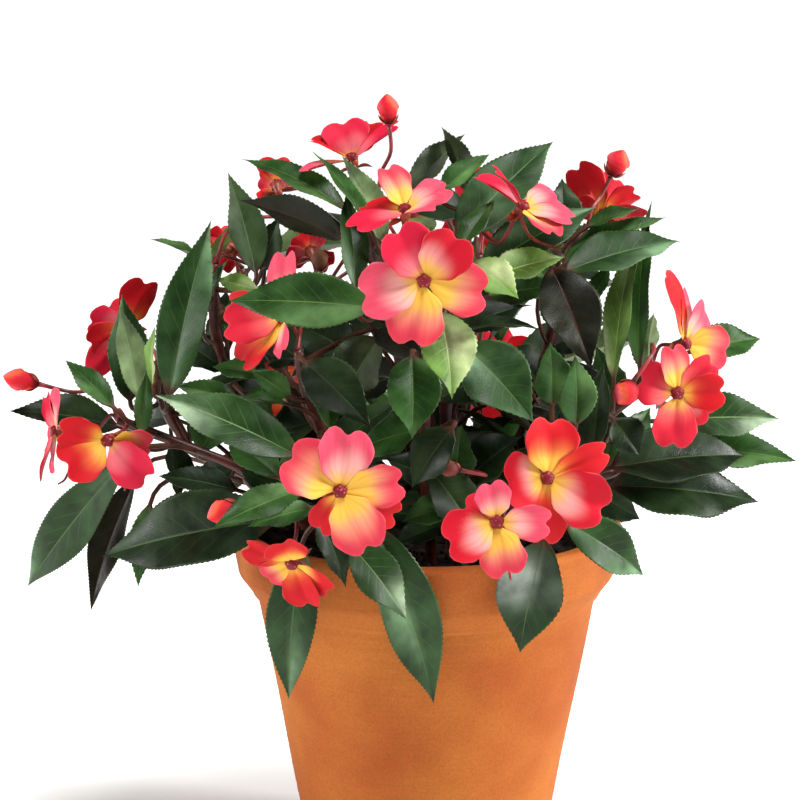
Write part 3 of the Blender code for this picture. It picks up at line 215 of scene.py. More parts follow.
# %% Leaves
# Each leaf: heel x, y, layer, tip x, y, layer, width in pixels, roll in degrees, and its arch
# where that isn't the usual one
LEAF_ARCH = 0.05
LEAVES = {
    "far_left": [
        (120, 427, 0.1, 9, 411, 0.05, 50, 35),
        (112, 406, 0.2, 65, 360, 0.3, 28, 20, 0.04),
        (142, 434, 0.3, 147, 370, 0.36, 20, 10, 0.03),
        (120, 465, 0.15, 27, 587, 0.3, 52, 10, 0.06),
        (134, 480, -0.52, 91, 611, 0.8, 40, 150),
        (150, 505, 0.1, 138, 588, 0.2, 30, 20, 0.04),
    ],
    "left_up": [
        (170, 395, 0.35, 212, 218, 0.15, 54, 20),
        (130, 400, 0.2, 122, 294, 0.2, 46, 15),
        (140, 398, 0.34, 119, 306, 0.34, 34, 165, 0.04),
        (153, 384, 0.44, 155, 326, 0.5, 26, 65, 0.03),
        (240, 402, 0.28, 172, 385, 0.38, 28, 25, 0.04),
        (176, 420, -0.1, 150, 440, -0.9, 56, 72, 0.1),
    ],
    "left_mid": [
        (206, 264, 0.0, 150, 239, 0.1, 30, 76),
        (256, 272, 0.1, 228, 172, 0.0, 42, 155, 0.04),
        (221, 280, 0.15, 262, 292, 0.25, 24, 30, 0.03),
        (206, 312, 0.2, 228, 259, 0.25, 26, 68, 0.03),
        (262, 270, -0.2, 280, 216, -0.2, 36, 25, 0.04),
        (244, 420, -0.2, 292, 470, 0.1, 60, 40),
        (220, 306, -0.2, 204, 318, -0.68, 48, 72, 0.1),
    ],
    "low_left": [
        (298, 456, 0.8, 155, 395, 0.74, 58, 24, 0.06),
        (276, 520, 0.72, 102, 557, 0.6, 84, 24, 0.06),
        (300, 490, 0.92, 211, 529, 1.0, 38, 20),
        (312, 508, 0.84, 247, 527, 0.9, 34, 30),
        (236, 490, 0.46, 157, 476, 0.44, 36, 35, 0.04),
    ],
    "front_left": [
        (318, 512, 0.94, 346, 588, 1.04, 34, 25),
        (346, 540, 0.95, 407, 620, 1.04, 50, 20, 0.08),
        (376, 526, 0.86, 434, 705, 0.98, 62, 12, 0.1),
        (302, 545, 0.84, 289, 700, 0.92, 54, 14, 0.08),
    ],
    "mid_left": [
        (305, 362, 0.62, 372, 428, 0.76, 56, 15, 0.07),
        (322, 376, 0.78, 330, 432, 0.84, 42, 20),
        (258, 374, 0.42, 212, 367, 0.46, 26, 30, 0.03),
        (290, 396, 0.52, 250, 370, 0.58, 28, 20, 0.04),
        (286, 404, 0.5, 235, 399, 0.55, 28, 68, 0.03),
        (378, 338, 0.5, 342, 402, 0.6, 64, 150, 0.04),
    ],
    "centre": [
        (440, 312, 0.98, 452, 400, 1.08, 62, 15, 0.08),
        (412, 356, 0.88, 412, 440, 1.0, 58, 10, 0.07),
        (466, 346, 0.86, 534, 422, 0.96, 72, 15, 0.06),
        (375, 307, 0.84, 228, 301, 0.76, 60, 18),
        (474, 262, 0.8, 519, 299, 0.86, 42, 20, 0.04),
    ],
    "top_left": [
        (345, 209, 0.3, 241, 159, 0.15, 38, 50, 0.06),
        (343, 238, 0.46, 239, 200, 0.4, 46, 140),
        (385, 240, 0.62, 342, 155, 0.5, 36, 155),
        (368, 226, 0.5, 312, 151, 0.42, 30, 60, 0.04),
        (355, 288, 0.6, 345, 190, 0.52, 34, 30, 0.04),
        (410, 190, 0.2, 465, 134, 0.0, 34, 145),
        (415, 196, 0.4, 456, 184, 0.36, 26, 64, 0.03),
        (398, 440, 0.1, 326, 476, 0.3, 60, 40),
        (372, 236, 0.1, 346, 232, -0.6, 60, 72, 0.1),
    ],
    "top_right": [
        (470, 192, 0.2, 441, 126, 0.0, 32, 140, 0.04),
        (440, 192, 0.3, 490, 154, 0.2, 30, 40, 0.04),
        (457, 236, 0.44, 554, 141, 0.15, 60, 20),
        (462, 246, 0.7, 495, 200, 0.62, 30, 40, 0.04),
        (482, 270, 0.5, 598, 207, 0.48, 62, 35),
        (490, 277, 0.66, 565, 257, 0.66, 44, 40, 0.04),
        (488, 297, 0.5, 560, 286, 0.5, 40, 35, 0.04),
        (452, 440, 0.0, 524, 486, 0.1, 60, 40),
        (440, 400, -0.1, 396, 480, -0.3, 60, 40),
        (466, 240, 0.1, 494, 236, -0.6, 60, 72, 0.1),
    ],
    "right_top": [
        (552, 268, 0.56, 592, 370, 0.72, 64, 15, 0.06),
        (565, 272, 0.5, 682, 241, 0.4, 56, 42),
        (562, 266, 0.36, 667, 217, 0.24, 48, 58),
        (588, 227, 0.24, 640, 209, 0.22, 32, 62, 0.04),
        (562, 236, 0.1, 562, 178, 0.0, 40, 20, 0.04),
        (592, 304, 0.24, 612, 262, 0.24, 24, 40, 0.03),
        (536, 400, -0.15, 590, 440, -0.3, 60, 40),
        (568, 272, -0.1, 600, 290, -0.8, 60, 72, 0.1),
    ],
    "right_mid": [
        (614, 378, 0.46, 641, 222, 0.26, 36, 40),
        (640, 368, 0.4, 652, 200, 0.16, 34, 40),
        (646, 372, 0.5, 654, 312, 0.46, 36, 145, 0.03),
        (614, 420, 0.5, 640, 456, 0.56, 42, 20),
        (672, 420, 0.0, 780, 419, -0.1, 52, 25),
        (690, 450, -0.1, 797, 461, -0.16, 46, 35),
        (690, 352, -0.1, 762, 339, -0.2, 44, 30),
        (634, 396, 0.0, 656, 410, -0.56, 46, 72, 0.1),
    ],
    "right_low": [
        (612, 468, 0.52, 749, 456, 0.34, 72, 35),
        (610, 486, 0.42, 759, 502, 0.3, 70, 25, 0.06),
    ],
    "front_right": [
        (545, 540, 0.88, 520, 653, 1.0, 70, 12, 0.09),
        (566, 522, 0.82, 644, 576, 0.84, 52, 20, 0.08),
        (576, 424, 0.74, 575, 355, 0.8, 42, 20, 0.04),
        (552, 404, 0.66, 550, 342, 0.7, 44, 20, 0.04),
        (594, 447, 0.62, 604, 362, 0.66, 36, 25, 0.04),
    ],
    "inner": [
        (448, 488, 0.42, 384, 458, 0.5, 52, 30, 0.04),
        (452, 506, 0.6, 402, 522, 0.66, 36, 30, 0.04),
        (470, 476, 0.5, 522, 436, 0.56, 54, 30, 0.04),
        (456, 476, 0.5, 462, 424, 0.56, 46, 20, 0.04),
        (448, 524, 0.5, 390, 546, 0.6, 34, 35, 0.04),
    ],
}

# %% Leaves within the crown
# These fill the crown behind the others. They are finer work than the solids need, so they stand here
INNER_LEAVES = {
    "far_left": [
        (236, 466, 0.1, 196, 500, -0.1, 46, 35),
        (200, 452, 0.1, 232, 404, 0.0, 44, 35),
        (172, 440, 0.1, 178, 500, 0.0, 40, 40),
    ],
    "left_up": [
        (165, 400, 0.0, 128, 360, -0.2, 44, 40),
        (190, 440, -0.1, 232, 420, -0.3, 46, 40),
    ],
    "left_mid": [
        (226, 370, -0.1, 176, 340, -0.2, 50, 40),
        (218, 320, -0.05, 262, 330, -0.2, 50, 40),
        (240, 400, -0.2, 290, 380, -0.3, 54, 40),
    ],
    "low_left": [
        (292, 500, 0.5, 240, 470, 0.4, 44, 35),
    ],
    "front_left": [
        (340, 510, 0.6, 380, 470, 0.5, 46, 35),
        (350, 515, 0.6, 300, 530, 0.6, 40, 35, 0.06),
    ],
    "mid_left": [
        (320, 420, 0.2, 262, 440, 0.1, 54, 35),
        (310, 390, 0.3, 360, 360, 0.2, 54, 40),
        (300, 360, 0.3, 250, 330, 0.15, 50, 40),
        (322, 440, 0.35, 366, 500, 0.3, 52, 30),
        (352, 354, 0.15, 294, 324, 0.1, 56, 30),
    ],
    "centre": [
        (430, 470, 0.5, 478, 540, 0.6, 56, 30, 0.06),
        (418, 430, 0.5, 352, 452, 0.45, 54, 35),
        (436, 400, 0.55, 500, 372, 0.5, 54, 30),
        (424, 360, 0.6, 372, 330, 0.45, 52, 40),
        (452, 428, 0.66, 412, 488, 0.7, 50, 25, 0.06),
    ],
    "top_left": [
        (392, 330, 0.1, 330, 300, 0.0, 56, 40),
        (380, 280, 0.1, 440, 250, 0.0, 54, 40),
        (376, 250, 0.05, 312, 226, -0.1, 50, 45),
        (400, 370, 0.0, 340, 400, -0.1, 56, 40),
    ],
    "top_right": [
        (460, 330, 0.05, 524, 306, -0.05, 56, 40),
        (464, 280, 0.1, 404, 262, -0.1, 50, 40),
        (452, 370, 0.0, 516, 370, -0.1, 58, 40),
        (466, 250, 0.0, 520, 250, -0.2, 50, 45),
    ],
    "right_top": [
        (548, 350, -0.1, 606, 322, -0.1, 54, 40),
        (560, 300, 0.0, 520, 250, -0.1, 48, 40),
        (540, 380, -0.15, 490, 350, -0.3, 54, 40),
    ],
    "right_mid": [
        (580, 440, 0.1, 560, 380, 0.05, 48, 35),
        (610, 412, 0.1, 596, 346, 0.0, 46, 35),
        (590, 430, 0.0, 646, 444, -0.2, 50, 40),
        (650, 386, 0.1, 700, 392, -0.1, 44, 40),
    ],
    "right_low": [
        (580, 488, 0.3, 640, 520, 0.25, 48, 30, 0.06),
        (566, 490, 0.2, 520, 470, 0.1, 48, 35),
        (600, 478, 0.2, 660, 478, 0.05, 50, 35),
    ],
    "front_right": [
        (530, 495, 0.6, 480, 470, 0.5, 46, 35),
        (548, 470, 0.5, 596, 500, 0.4, 46, 35),
        (512, 508, 0.5, 470, 540, 0.5, 44, 35, 0.06),
    ],
    "inner": [
        (452, 500, 0.35, 430, 430, 0.3, 56, 25),
        (462, 500, 0.3, 540, 520, 0.25, 56, 35),
        (440, 520, 0.3, 372, 512, 0.2, 54, 40),
        (455, 520, 0.45, 470, 575, 0.6, 44, 30, 0.07),
    ],
}

# %% Blooms and buds
# Each bloom: its stem, eye x, y, layer, the way it faces (x, y, z), the point of the stem that
# its stalk leaves, and its petals: tip x, y, depth in mm from the eye, width in pixels
BLOOMS = {
    "centre": ("centre", (424, 281, 1.06), (0.05, -1, 0.2), (424, 330), [
        (395, 227, -2, 56), (460, 234, -3, 56), (488, 294, 1, 56), (411, 346, -5, 60), (359, 298, -1, 60)]),
    "upper_centre": ("top_left", (405, 211, 0.78), (0, -0.5, 1), (372, 240), [
        (386, 166, 6, 40), (362, 207, 10, 40), (351, 230, -18, 40), (440, 206, -20, 40), (450, 187, 8, 40)]),
    "upper_right": ("top_right", (522, 208, 0.62), (0.55, -0.35, 0.9), (466, 240), [
        (475, 176, 4, 40), (493, 168, -14, 36), (560, 200, 8, 44), (575, 221, -6, 40), (555, 236, -20, 36)]),
    "top": ("top_left", (352, 160, 0.1), (-0.25, -0.25, 1), (378, 200), [
        (342, 120, 10, 50), (310, 140, -2, 40), (373, 121, 14, 46), (399, 124, -8, 34), (303, 172, -16, 34)]),
    "top_right": ("right_top", (602, 216, -0.1), (0.15, 0.7, 0.7), (588, 228), [
        (574, 165, 4, 44), (615, 176, 8, 46), (638, 192, 2, 40), (649, 218, -4, 40), (572, 206, -2, 36),
        (628, 260, 2, 40)]),
    "front_left": ("front_left", (340, 491, 1.1), (0.05, -1, 0.15), (330, 504), [
        (286, 454, -2, 62), (348, 427, -1, 58), (405, 482, 2, 46), (370, 551, -6, 58), (399, 517, 8, 42),
        (318, 532, 6, 34)]),
    "front_middle": ("front_right", (497, 522, 1.2), (-0.1, -1, 0.25), (512, 510), [
        (490, 481, 0, 38), (462, 506, 4, 40), (445, 545, -4, 58), (508, 577, -5, 50), (552, 523, -4, 38)]),
    "front_right": ("front_right", (547, 478, 0.98), (0.2, -1, 0.15), (546, 476), [
        (551, 417, 2, 60), (608, 450, 8, 36), (606, 512, -2, 60), (543, 544, 0, 46), (504, 484, -5, 62)]),
    "right": ("right_mid", (677, 393, 0.62), (0.25, -1, 0.1), (640, 392), [
        (637, 379, -2, 46), (671, 344, -2, 34), (714, 361, 6, 36), (726, 390, 0, 40), (712, 416, 4, 36),
        (672, 448, -4, 48)]),
    "right_back": ("right_mid", (684, 344, 0.15), (0.9, -0.6, 0.2), (650, 386), [
        (664, 272, -6, 40), (681, 286, 12, 34), (705, 306, 14, 44), (729, 352, 2, 48)]),
    "left": ("far_left", (108, 440, 0.66), (-0.3, -1, -0.1), (134, 424), [
        (57, 431, -10, 40), (62, 468, -12, 56), (149, 480, -2, 56), (152, 446, 4, 38)]),
    "left_edge": ("far_left", (57, 432, 0.16), (-1, -0.25, 0.1), (120, 420), [
        (46, 393, 8, 40), (60, 392, -14, 36), (41, 481, 2, 40), (54, 470, -18, 34), (48, 440, 22, 34)]),
    "low_left": ("low_left", (292, 562, 1.0), (-0.1, -1, -0.75), (298, 500), [
        (243, 545, -4, 34), (282, 540, -20, 44), (266, 578, 4, 38), (309, 607, 6, 42), (331, 592, -2, 46)]),
    "mid_left": ("mid_left", (284, 318, 0.42), (-0.75, -0.7, 0.1), (298, 352), [
        (286, 250, 4, 40), (226, 302, 14, 34), (223, 326, -2, 46), (240, 366, 2, 48), (284, 354, -18, 34)]),
    "left_back": ("left_up", (127, 328, -0.25), (-0.3, 0.8, 0.35), (158, 366), [
        (148, 279, 2, 46), (107, 304, 4, 36), (88, 322, 0, 38), (88, 346, -4, 36), (92, 374, -2, 34)]),
    "inner_left": ("left_mid", (230, 246, -0.3), (-0.5, 0.6, 0.4), (216, 266), [
        (207, 240, 2, 34), (219, 227, 4, 34), (246, 228, 2, 34), (222, 272, -2, 34)]),
    "far_top_left": ("left_mid", (277, 186, -0.4), (-0.2, 0.7, 0.6), (216, 266), [
        (276, 156, 4, 42), (258, 178, 4, 34), (300, 176, 4, 34), (268, 208, -4, 34)]),
    "inner_top": ("top_left", (311, 252, -0.3), (-0.2, 0.6, 0.5), (384, 310), [
        (297, 234, 4, 32), (323, 233, 4, 32), (288, 262, 0, 32), (330, 268, 0, 32)]),
}

# Each bud in the same way: its base, no facing, and its one tip
BUDS = {
    "top": ("top_left", (389, 124, 0.16), None, (378, 198), [(387, 94, 0, 22)]),
    "top_right": ("right_top", (611, 176, 0.0), None, (588, 228), [(624, 150, 0, 25)]),
    "left": ("far_left", (38, 384, 0.1), None, (122, 421), [(3, 376, -4, 23)]),
    "low_left": ("low_left", (238, 505, 1.04), None, (294, 497), [(207, 518, -4, 25)]),
    "right": ("right_mid", (633, 382, 0.72), None, (634, 396), [(618, 404, -6, 25)]),
    "inner_top": ("top_left", (321, 270, 0.1), None, (384, 310), [(319, 249, -2, 18)]),
    "inner": ("inner", (459, 470, 0.7), None, (462, 488), [(439, 466, -4, 18)]),
}

# %% The far side
# The far side: these stems stand again, turned round the pot's axis by so many degrees
FAR_SIDE = {
    "back_right": ("low_left", 184),
    "back_low": ("front_left", 180),
    "back_centre": ("centre", 165),
    "back_left": ("front_right", 192),
    "back_high": ("mid_left", 222),
    "back_side": ("centre", 244),
}
FAR_BLOOMS = {"back_centre": "centre", "back_low": "front_left", "back_left": "front_right"}
FAR_BUDS = {"back_right": "low_left"}

# Shifts tried in turn, in mm along the sight line, until a piece is clear of all the others
SHIFTS = [0, -5, 5, -10, 10, -16, 16, -23, 23, -31, 31]
SPARE_SHIFTS = [-40, 40, -50, 50]
SHRINKS = [1, 0.85, 0.68]
STALK_DROPS = [8 * MM, -12 * MM, 28 * MM, 55 * MM]
ALL_STEMS = list(STEMS) + list(FAR_SIDE)


def near_name(name):
    """The stem of the near side whose table a stem follows."""
    return FAR_SIDE[name][0] if name in FAR_SIDE else name


def turn_round(name):
    """The turn round the pot's axis that takes a stem of the near side to its place."""
    return Matrix.Rotation(math.radians(FAR_SIDE[name][1]) if name in FAR_SIDE else 0, 3, "Z")


print(len(ALL_STEMS), "stems", len(BLOOMS) + len(FAR_BLOOMS), "blooms")

# %% [markdown]
# A leaf and a petal are each one formula of two numbers: u runs from heel to tip and v across.
# The same formula serves twice, coarsely to find room for a leaf and finely to show it.

# %% Surface of a leaf
def axes(sheet):
    """A leaf's or petal's heel, the ways along, across and up from it, and its length."""
    heel, tip, up = (np.array(sheet[key]) for key in ("heel", "tip", "normal"))
    length = np.linalg.norm(tip - heel)
    along = (tip - heel) / length
    return heel, along, np.cross(along, up), up, length


def leaf_surface(leaf, u, v):
    """Points of a leaf, u along its rib from heel to tip and v across it from -1 to 1.

    The rib is a parabola that stands arch times the length over its chord. The half width is a
    sine that is drawn out towards the tip, and both halves lift from the rib by the fold.
    """
    heel, along, side, normal, length = axes(leaf)
    u, v = np.asarray(u, float)[..., None], np.asarray(v, float)[..., None]
    slope = 4 * leaf["arch"] * (1 - 2 * u)
    lift = (normal - along * slope) / np.sqrt(1 + slope ** 2)
    rib = heel + along * length * u + normal * leaf["arch"] * length * 4 * u * (1 - u)
    half = 0.5 * leaf["width"] * np.sin(np.pi * np.clip(u, 0, 1) ** 0.8) ** (0.85 + 0.5 * u)
    half = np.maximum(half, STALK_WIDTH / 2 * (u < 0.5))
    fold = leaf["fold"]
    return rib + half * (side * v * math.cos(fold) + lift * np.abs(v) * math.sin(fold))


# %% Surface of a petal
def petal_surface(petal, u, v):
    """Points of a petal, u from its claw to its end and v across it from -1 to 1.

    The petal is a wedge that reaches its full width at two thirds of its length. Its end is
    rounded off to both sides and notched in the middle, and it bows back a little.
    """
    heel, along, side, normal, length = axes(petal)
    u, v = np.asarray(u, float)[..., None], np.asarray(v, float)[..., None]
    reach = u * (1 - 0.11 * np.exp(-(v / 0.22) ** 2) - 0.34 * np.abs(v) ** 4)
    half = petal["width"] / 2 * (0.07 + 0.93 * np.sin(np.pi / 2 * np.minimum(reach / 0.66, 1)) ** 1.2)
    bow = PETAL_BOW * length * 4 * reach * (1 - reach)
    cup = PETAL_CUP * half * v ** 2
    return heel + along * length * reach + side * v * half + normal * (bow + cup)


# %% Coarse leaf and petal
# Where the surface of a leaf is sampled: the rib, then its teeth, each a point and a notch
RIB_LARGE = (0.3, 0.66)
TEETH_LARGE = ((0.12, 0.95), (0.36, 1.08), (0.43, 0.95), (0.66, 1.14), (0.73, 0.95))
RIB_SMALL = (0.42,)
TEETH_SMALL = ((0.2, 0.95), (0.52, 1.1), (0.6, 0.95))
LARGE_LEAF = 62 * MM
PETAL_POINTS = ((0, 0), (1, -1), (1, -0.62), (1, 0), (1, 0.62), (1, 1))


def strip(edge, rib):
    """Triangles between an edge and a rib that start apart and end in the same point."""
    faces = []
    i, j = 0, 0
    while i < len(edge) - 2 or j < len(rib) - 2:
        edge_share = (i + 1) / (len(edge) - 1)
        rib_share = (j + 1) / (len(rib) - 1)
        if j == len(rib) - 2 or (i < len(edge) - 2 and edge_share <= rib_share):
            faces.append((edge[i], edge[i + 1], rib[j]))
            i += 1
        else:
            faces.append((edge[i], rib[j + 1], rib[j]))
            j += 1
    return faces + [(edge[i], edge[-1], rib[j])]


def stalk_path(leaf):
    """The way of a leaf's stalk, from inside the stem to the leaf's heel."""
    start, heel = leaf["start"], leaf["heel"]
    span = (heel - start).length
    pieces = 2 if span < LONG_STALK else 3
    at_heel, past_heel = leaf_surface(leaf, [0, 0.02], [0, 0])
    turn = heel - (Vector(past_heel) - Vector(at_heel)).normalized() * span * STALK_BOW
    return [start.lerp(turn, t).lerp(turn.lerp(heel, t), t)
            for t in [k / pieces for k in range(pieces + 1)]]


def leaf_mesh(leaf):
    """Points and triangles of a leaf with its stalk, and which points belong to the stalk."""
    large = (leaf["tip"] - leaf["heel"]).length > LARGE_LEAF
    ribs, teeth = (RIB_LARGE, TEETH_LARGE) if large else (RIB_SMALL, TEETH_SMALL)
    u = [0, 0] + [t[0] for t in teeth] * 2 + list(ribs) + [1]
    v = [-1, 1] + [-t[1] for t in teeth] + [t[1] for t in teeth] + [0] * (len(ribs) + 1)
    points = [Vector(p) for p in leaf_surface(leaf, u, v)]
    count = len(teeth)
    left = [0] + list(range(2, 2 + count))
    right = [1] + list(range(2 + count, 2 + 2 * count))
    rib = list(range(2 + 2 * count, 2 + 2 * count + len(ribs)))
    tip = len(points) - 1
    faces = [(0, rib[0], 1)]
    faces += strip(left + [tip], rib + [tip])
    faces += [(a, c, b) for a, b, c in strip(right + [tip], rib + [tip])]
    stalk = [0, 1]
    path = stalk_path(leaf)
    side = (points[1] - points[0]).normalized()
    ahead = (path[-1] - path[-2]).normalized()
    last = (0, 1)
    for k in range(len(path) - 2, 0, -1):
        way = (path[k + 1] - path[k]).normalized()
        side = ahead.rotation_difference(way) @ side
        ahead = way
        points += [path[k] - side * STALK_WIDTH / 2, path[k] + side * STALK_WIDTH / 2]
        now = (len(points) - 2, len(points) - 1)
        faces += [(now[0], last[0], last[1]), (now[0], last[1], now[1])]
        stalk += now
        last = now
    points.append(path[0] + (path[0] - path[1]).normalized() * STALK_FOOT)
    faces.append((len(points) - 1, last[0], last[1]))
    stalk.append(len(points) - 1)
    return points, faces, stalk


def petal_mesh(petal):
    """Points and triangles of a petal."""
    points = [Vector(p) for p in petal_surface(petal, *zip(*PETAL_POINTS))]
    foot, left, left_lobe, notch, right_lobe, right = range(len(PETAL_POINTS))
    return points, [(foot, right, left), (left, notch, left_lobe), (left, right, notch),
                    (right, right_lobe, notch)]


# %% [markdown]
# Leaves on a real plant grow past each other and never through each other. Each piece is tried
# at its own depth, then a little nearer or farther along its sight line, until its skin is clear
# of all the others. A tree of boxes makes the test quick. The rule is the one the solids
# were placed with, so every piece finds the same place again.

# %% Skins for testing
def thickened(points, faces, half):
    """A closed skin round a thin sheet, for testing what it touches."""
    normals = [Vector() for _ in points]
    for face in faces:
        a, b, c = (points[i] for i in face)
        normal = (b - a).cross(c - a)
        for i in face:
            normals[i] += normal
    normals = [n.normalized() for n in normals]
    count = len(points)
    skin = [p + n * side for side in (half, -half) for p, n in zip(points, normals)]
    sides = {(f[k], f[(k + 1) % 3]) for f in faces for k in range(3)}
    border = sorted(s for s in sides if (s[1], s[0]) not in sides)
    closed = list(faces) + [tuple(i + count for i in reversed(f)) for f in faces]
    closed += [(b, a, a + count) for a, b in border] + [(b, a + count, b + count) for a, b in border]
    return skin, closed


def rod_skin(start, end, radius, sides=6):
    """A straight rod with closed ends, for testing."""
    axis = end - start
    place = Matrix.Translation(start) @ axis.normalized().to_track_quat("Z", "Y").to_matrix().to_4x4()
    turns = [2 * math.pi * k / sides for k in range(sides)]
    points = [place @ Vector((math.cos(t) * radius, math.sin(t) * radius, z))
              for z in (0, axis.length) for t in turns]
    faces = [tuple(range(sides)), tuple(range(sides, 2 * sides))]
    faces += [(k, (k + 1) % sides, (k + 1) % sides + sides, k + sides) for k in range(sides)]
    return points, faces


# %% Clearance
PLACED = []


def keep(owner, kind, points, faces):
    """Remembers a placed piece, with its lowest and highest corner."""
    box = np.min(points, axis=0), np.max(points, axis=0)
    PLACED.append((owner, kind, BVHTree.FromPolygons(points, faces), *box))


def touches(points, faces, but=()):
    """True if a skin meets a placed piece whose (owner, kind) isn't in but."""
    low, high = np.min(points, axis=0), np.max(points, axis=0)
    tree = None
    for owner, kind, other, other_low, other_high in PLACED:
        if (owner, kind) in but or (low > other_high).any() or (high < other_low).any():
            continue
        tree = tree or BVHTree.FromPolygons(points, faces)
        if tree.overlap(other):
            return True
    return False


# %% The outline of pot and soil
def band_radius(height):
    """Outer radius of the rim band above its lower edge: it flares, then stands nearly upright."""
    t = min(height / POT_FLARE, 1)
    swell = (POT_RIM_RADIUS - POT_BAND_LEAN - POT_BAND_RADIUS) * (1 - (1 - t) ** 2)
    lean = POT_BAND_LEAN * max(0, (height - POT_FLARE) / (POT_BAND_HEIGHT - POT_FLARE))
    return POT_BAND_RADIUS + swell + lean


def inner_radius(height):
    """Radius of the pot's inner wall at a height."""
    if height > BAND_FOOT:
        slope = (INNER_RIM_RADIUS - inner_radius(BAND_FOOT)) / POT_BAND_HEIGHT
        return INNER_RIM_RADIUS + slope * (height - POT_HEIGHT)
    return POT_FOOT_RADIUS - POT_WALL + (NECK_RADIUS - POT_FOOT_RADIUS) / BAND_FOOT * height


def pot_profile():
    """Radius and height from the middle of the pot's floor up inside and down outside."""
    inside = [(0, POT_FLOOR)] + [(inner_radius(h), h) for h in (POT_FLOOR, BAND_FOOT, POT_HEIGHT)]
    rim = [(POT_RIM_RADIUS - POT_EDGE, POT_HEIGHT), (POT_RIM_RADIUS, POT_HEIGHT - POT_EDGE)]
    band = [(band_radius(h), BAND_FOOT + h) for h in (POT_FLARE, POT_FLARE / 2, 0)]
    wall = [(NECK_RADIUS, BAND_FOOT - POT_EDGE), (POT_FOOT_RADIUS + POT_FOOT_EDGE, POT_EDGE)]
    return inside + rim + band + wall + [(POT_FOOT_RADIUS - POT_FOOT_EDGE, 0), (0, 0)]


def soil_profile():
    """Radius and height along the soil, from its middle out and down to the pot's floor."""
    low = POT_FLOOR + GAP
    wall = [(inner_radius(h) - GAP, h) for h in (SOIL_TOP, BAND_FOOT, low)]
    return [(0, SOIL_TOP)] + wall + [(0, low)]


def turned_skin(profile):
    """The skin of a turned piece, for testing."""
    steps = TURNED_STEPS
    turns = [2 * math.pi * k / steps for k in range(steps)]
    points = [Vector((r * math.cos(t), r * math.sin(t), z)) for r, z in profile for t in turns]
    corners = [(k, (k + 1) % steps, (k + 1) % steps + steps, k + steps) for k in range(steps)]
    faces = [tuple(n * steps + k for k in face) for n in range(len(profile) - 1) for face in corners]
    return points, faces


# %% Ways of the stems
def smooth(points, pieces):
    """A Catmull-Rom curve through points, each span in so many pieces."""
    ends = [points[0] * 2 - points[1]] + list(points) + [points[-1] * 2 - points[-2]]
    way = []
    for a, b, c, d in zip(ends, ends[1:], ends[2:], ends[3:]):
        for k in range(pieces):
            t = k / pieces
            way.append(0.5 * (2 * b + (c - a) * t + (2 * a - 5 * b + 4 * c - d) * t ** 2
                              + (3 * b - a - 3 * c + d) * t ** 3))
    return way + [points[-1]]


def thinned(way, slack):
    """A way without the points that lie within the slack of a straight line between others."""
    kept = [way[0], way[1]]
    for point, after in zip(way[2:], way[3:]):
        line = after - kept[-1]
        along = line.normalized()
        if (point - kept[-1] - along * (point - kept[-1]).dot(along)).length > slack:
            kept.append(point)
    return kept + [way[-1]]


def stem_root(name):
    """Where a stem leaves the soil."""
    root = STEMS[near_name(name)][0]
    return turn_round(name) @ Vector((root[0] * MM, root[1] * MM, SOIL_TOP))


def stem_way(name):
    """The middle line of a stem, from the foot of its hole to its head."""
    foot = stem_root(name)
    points = [turn_round(name) @ crown(*mark) for mark in STEMS[near_name(name)][1]]
    lead = foot + Vector((0, 0, STEM_LEAD))
    return thinned([foot - Vector((0, 0, ROOT_DEPTH))] + smooth([lead] + points, 4), STEM_SLACK)


def nearest_on(way, place, pieces=6):
    """The point of a way that is nearest to a place, clear of the soil."""
    points = [a.lerp(b, (k + 1) / pieces) for a, b in zip(way[1:], way[2:]) for k in range(pieces)]
    clear = [p for p in points if p.z > SOIL_TOP + LOWEST_TWIG]
    return min(clear, key=lambda p: (p - place).length)


# %% Room for a leaf
def square_to(axis, way):
    """The direction at right angles to an axis that is nearest to a way."""
    return (way - axis * way.dot(axis)).normalized()


def leaf_row(row, stem):
    """A leaf's heel, tip, normal and sizes in the world."""
    heel, tip = crown(*row[0:3]), crown(*row[3:6])
    width = picture_size(row[6], (heel + tip) / 2)
    axis = (tip - heel).normalized()
    to_eye = square_to(axis, EYE - (heel + tip) / 2)
    across = axis.cross(to_eye)
    if across.z < 0:
        across = -across
    roll = math.radians(row[7])
    normal = to_eye * math.cos(roll) + across * math.sin(roll)
    turn = turn_round(stem)
    return {"heel": turn @ heel, "tip": turn @ tip, "normal": turn @ normal, "width": width,
            "ray": turn @ (tip - EYE).normalized(), "arch": (*row, LEAF_ARCH)[8], "fold": LEAF_FOLD}


def shifted_leaf(leaf, heel_shift, tip_shift, shrink):
    """A leaf moved along the sight line and shortened towards its tip."""
    moved = dict(leaf)
    moved["tip"] = leaf["tip"] + leaf["ray"] * tip_shift * MM
    moved["heel"] = moved["tip"].lerp(leaf["heel"] + leaf["ray"] * heel_shift * MM, shrink)
    moved["normal"] = square_to((moved["tip"] - moved["heel"]).normalized(), leaf["normal"])
    moved["width"] = leaf["width"] * shrink
    return moved


def blade_blocked(leaf):
    """Whether a leaf's blade, without its stalk, meets another piece."""
    points, faces, stalk = leaf_mesh(leaf)
    blade = [f for f in faces if not set(f) <= set(stalk)]
    return touches(*thickened(points, blade, BLADE_THICKNESS / 2 + CLEAR))


def settle(stem, leaf):
    """Keeps a leaf if it is clear of all but its own stem, and tells whether it is."""
    points, faces, _ = leaf_mesh(leaf)
    if touches(*thickened(points, faces, BLADE_THICKNESS / 2 + CLEAR), but=((stem, "stem"),)):
        return False
    keep(stem, "leaf", *thickened(points, faces, BLADE_THICKNESS / 2))
    return True


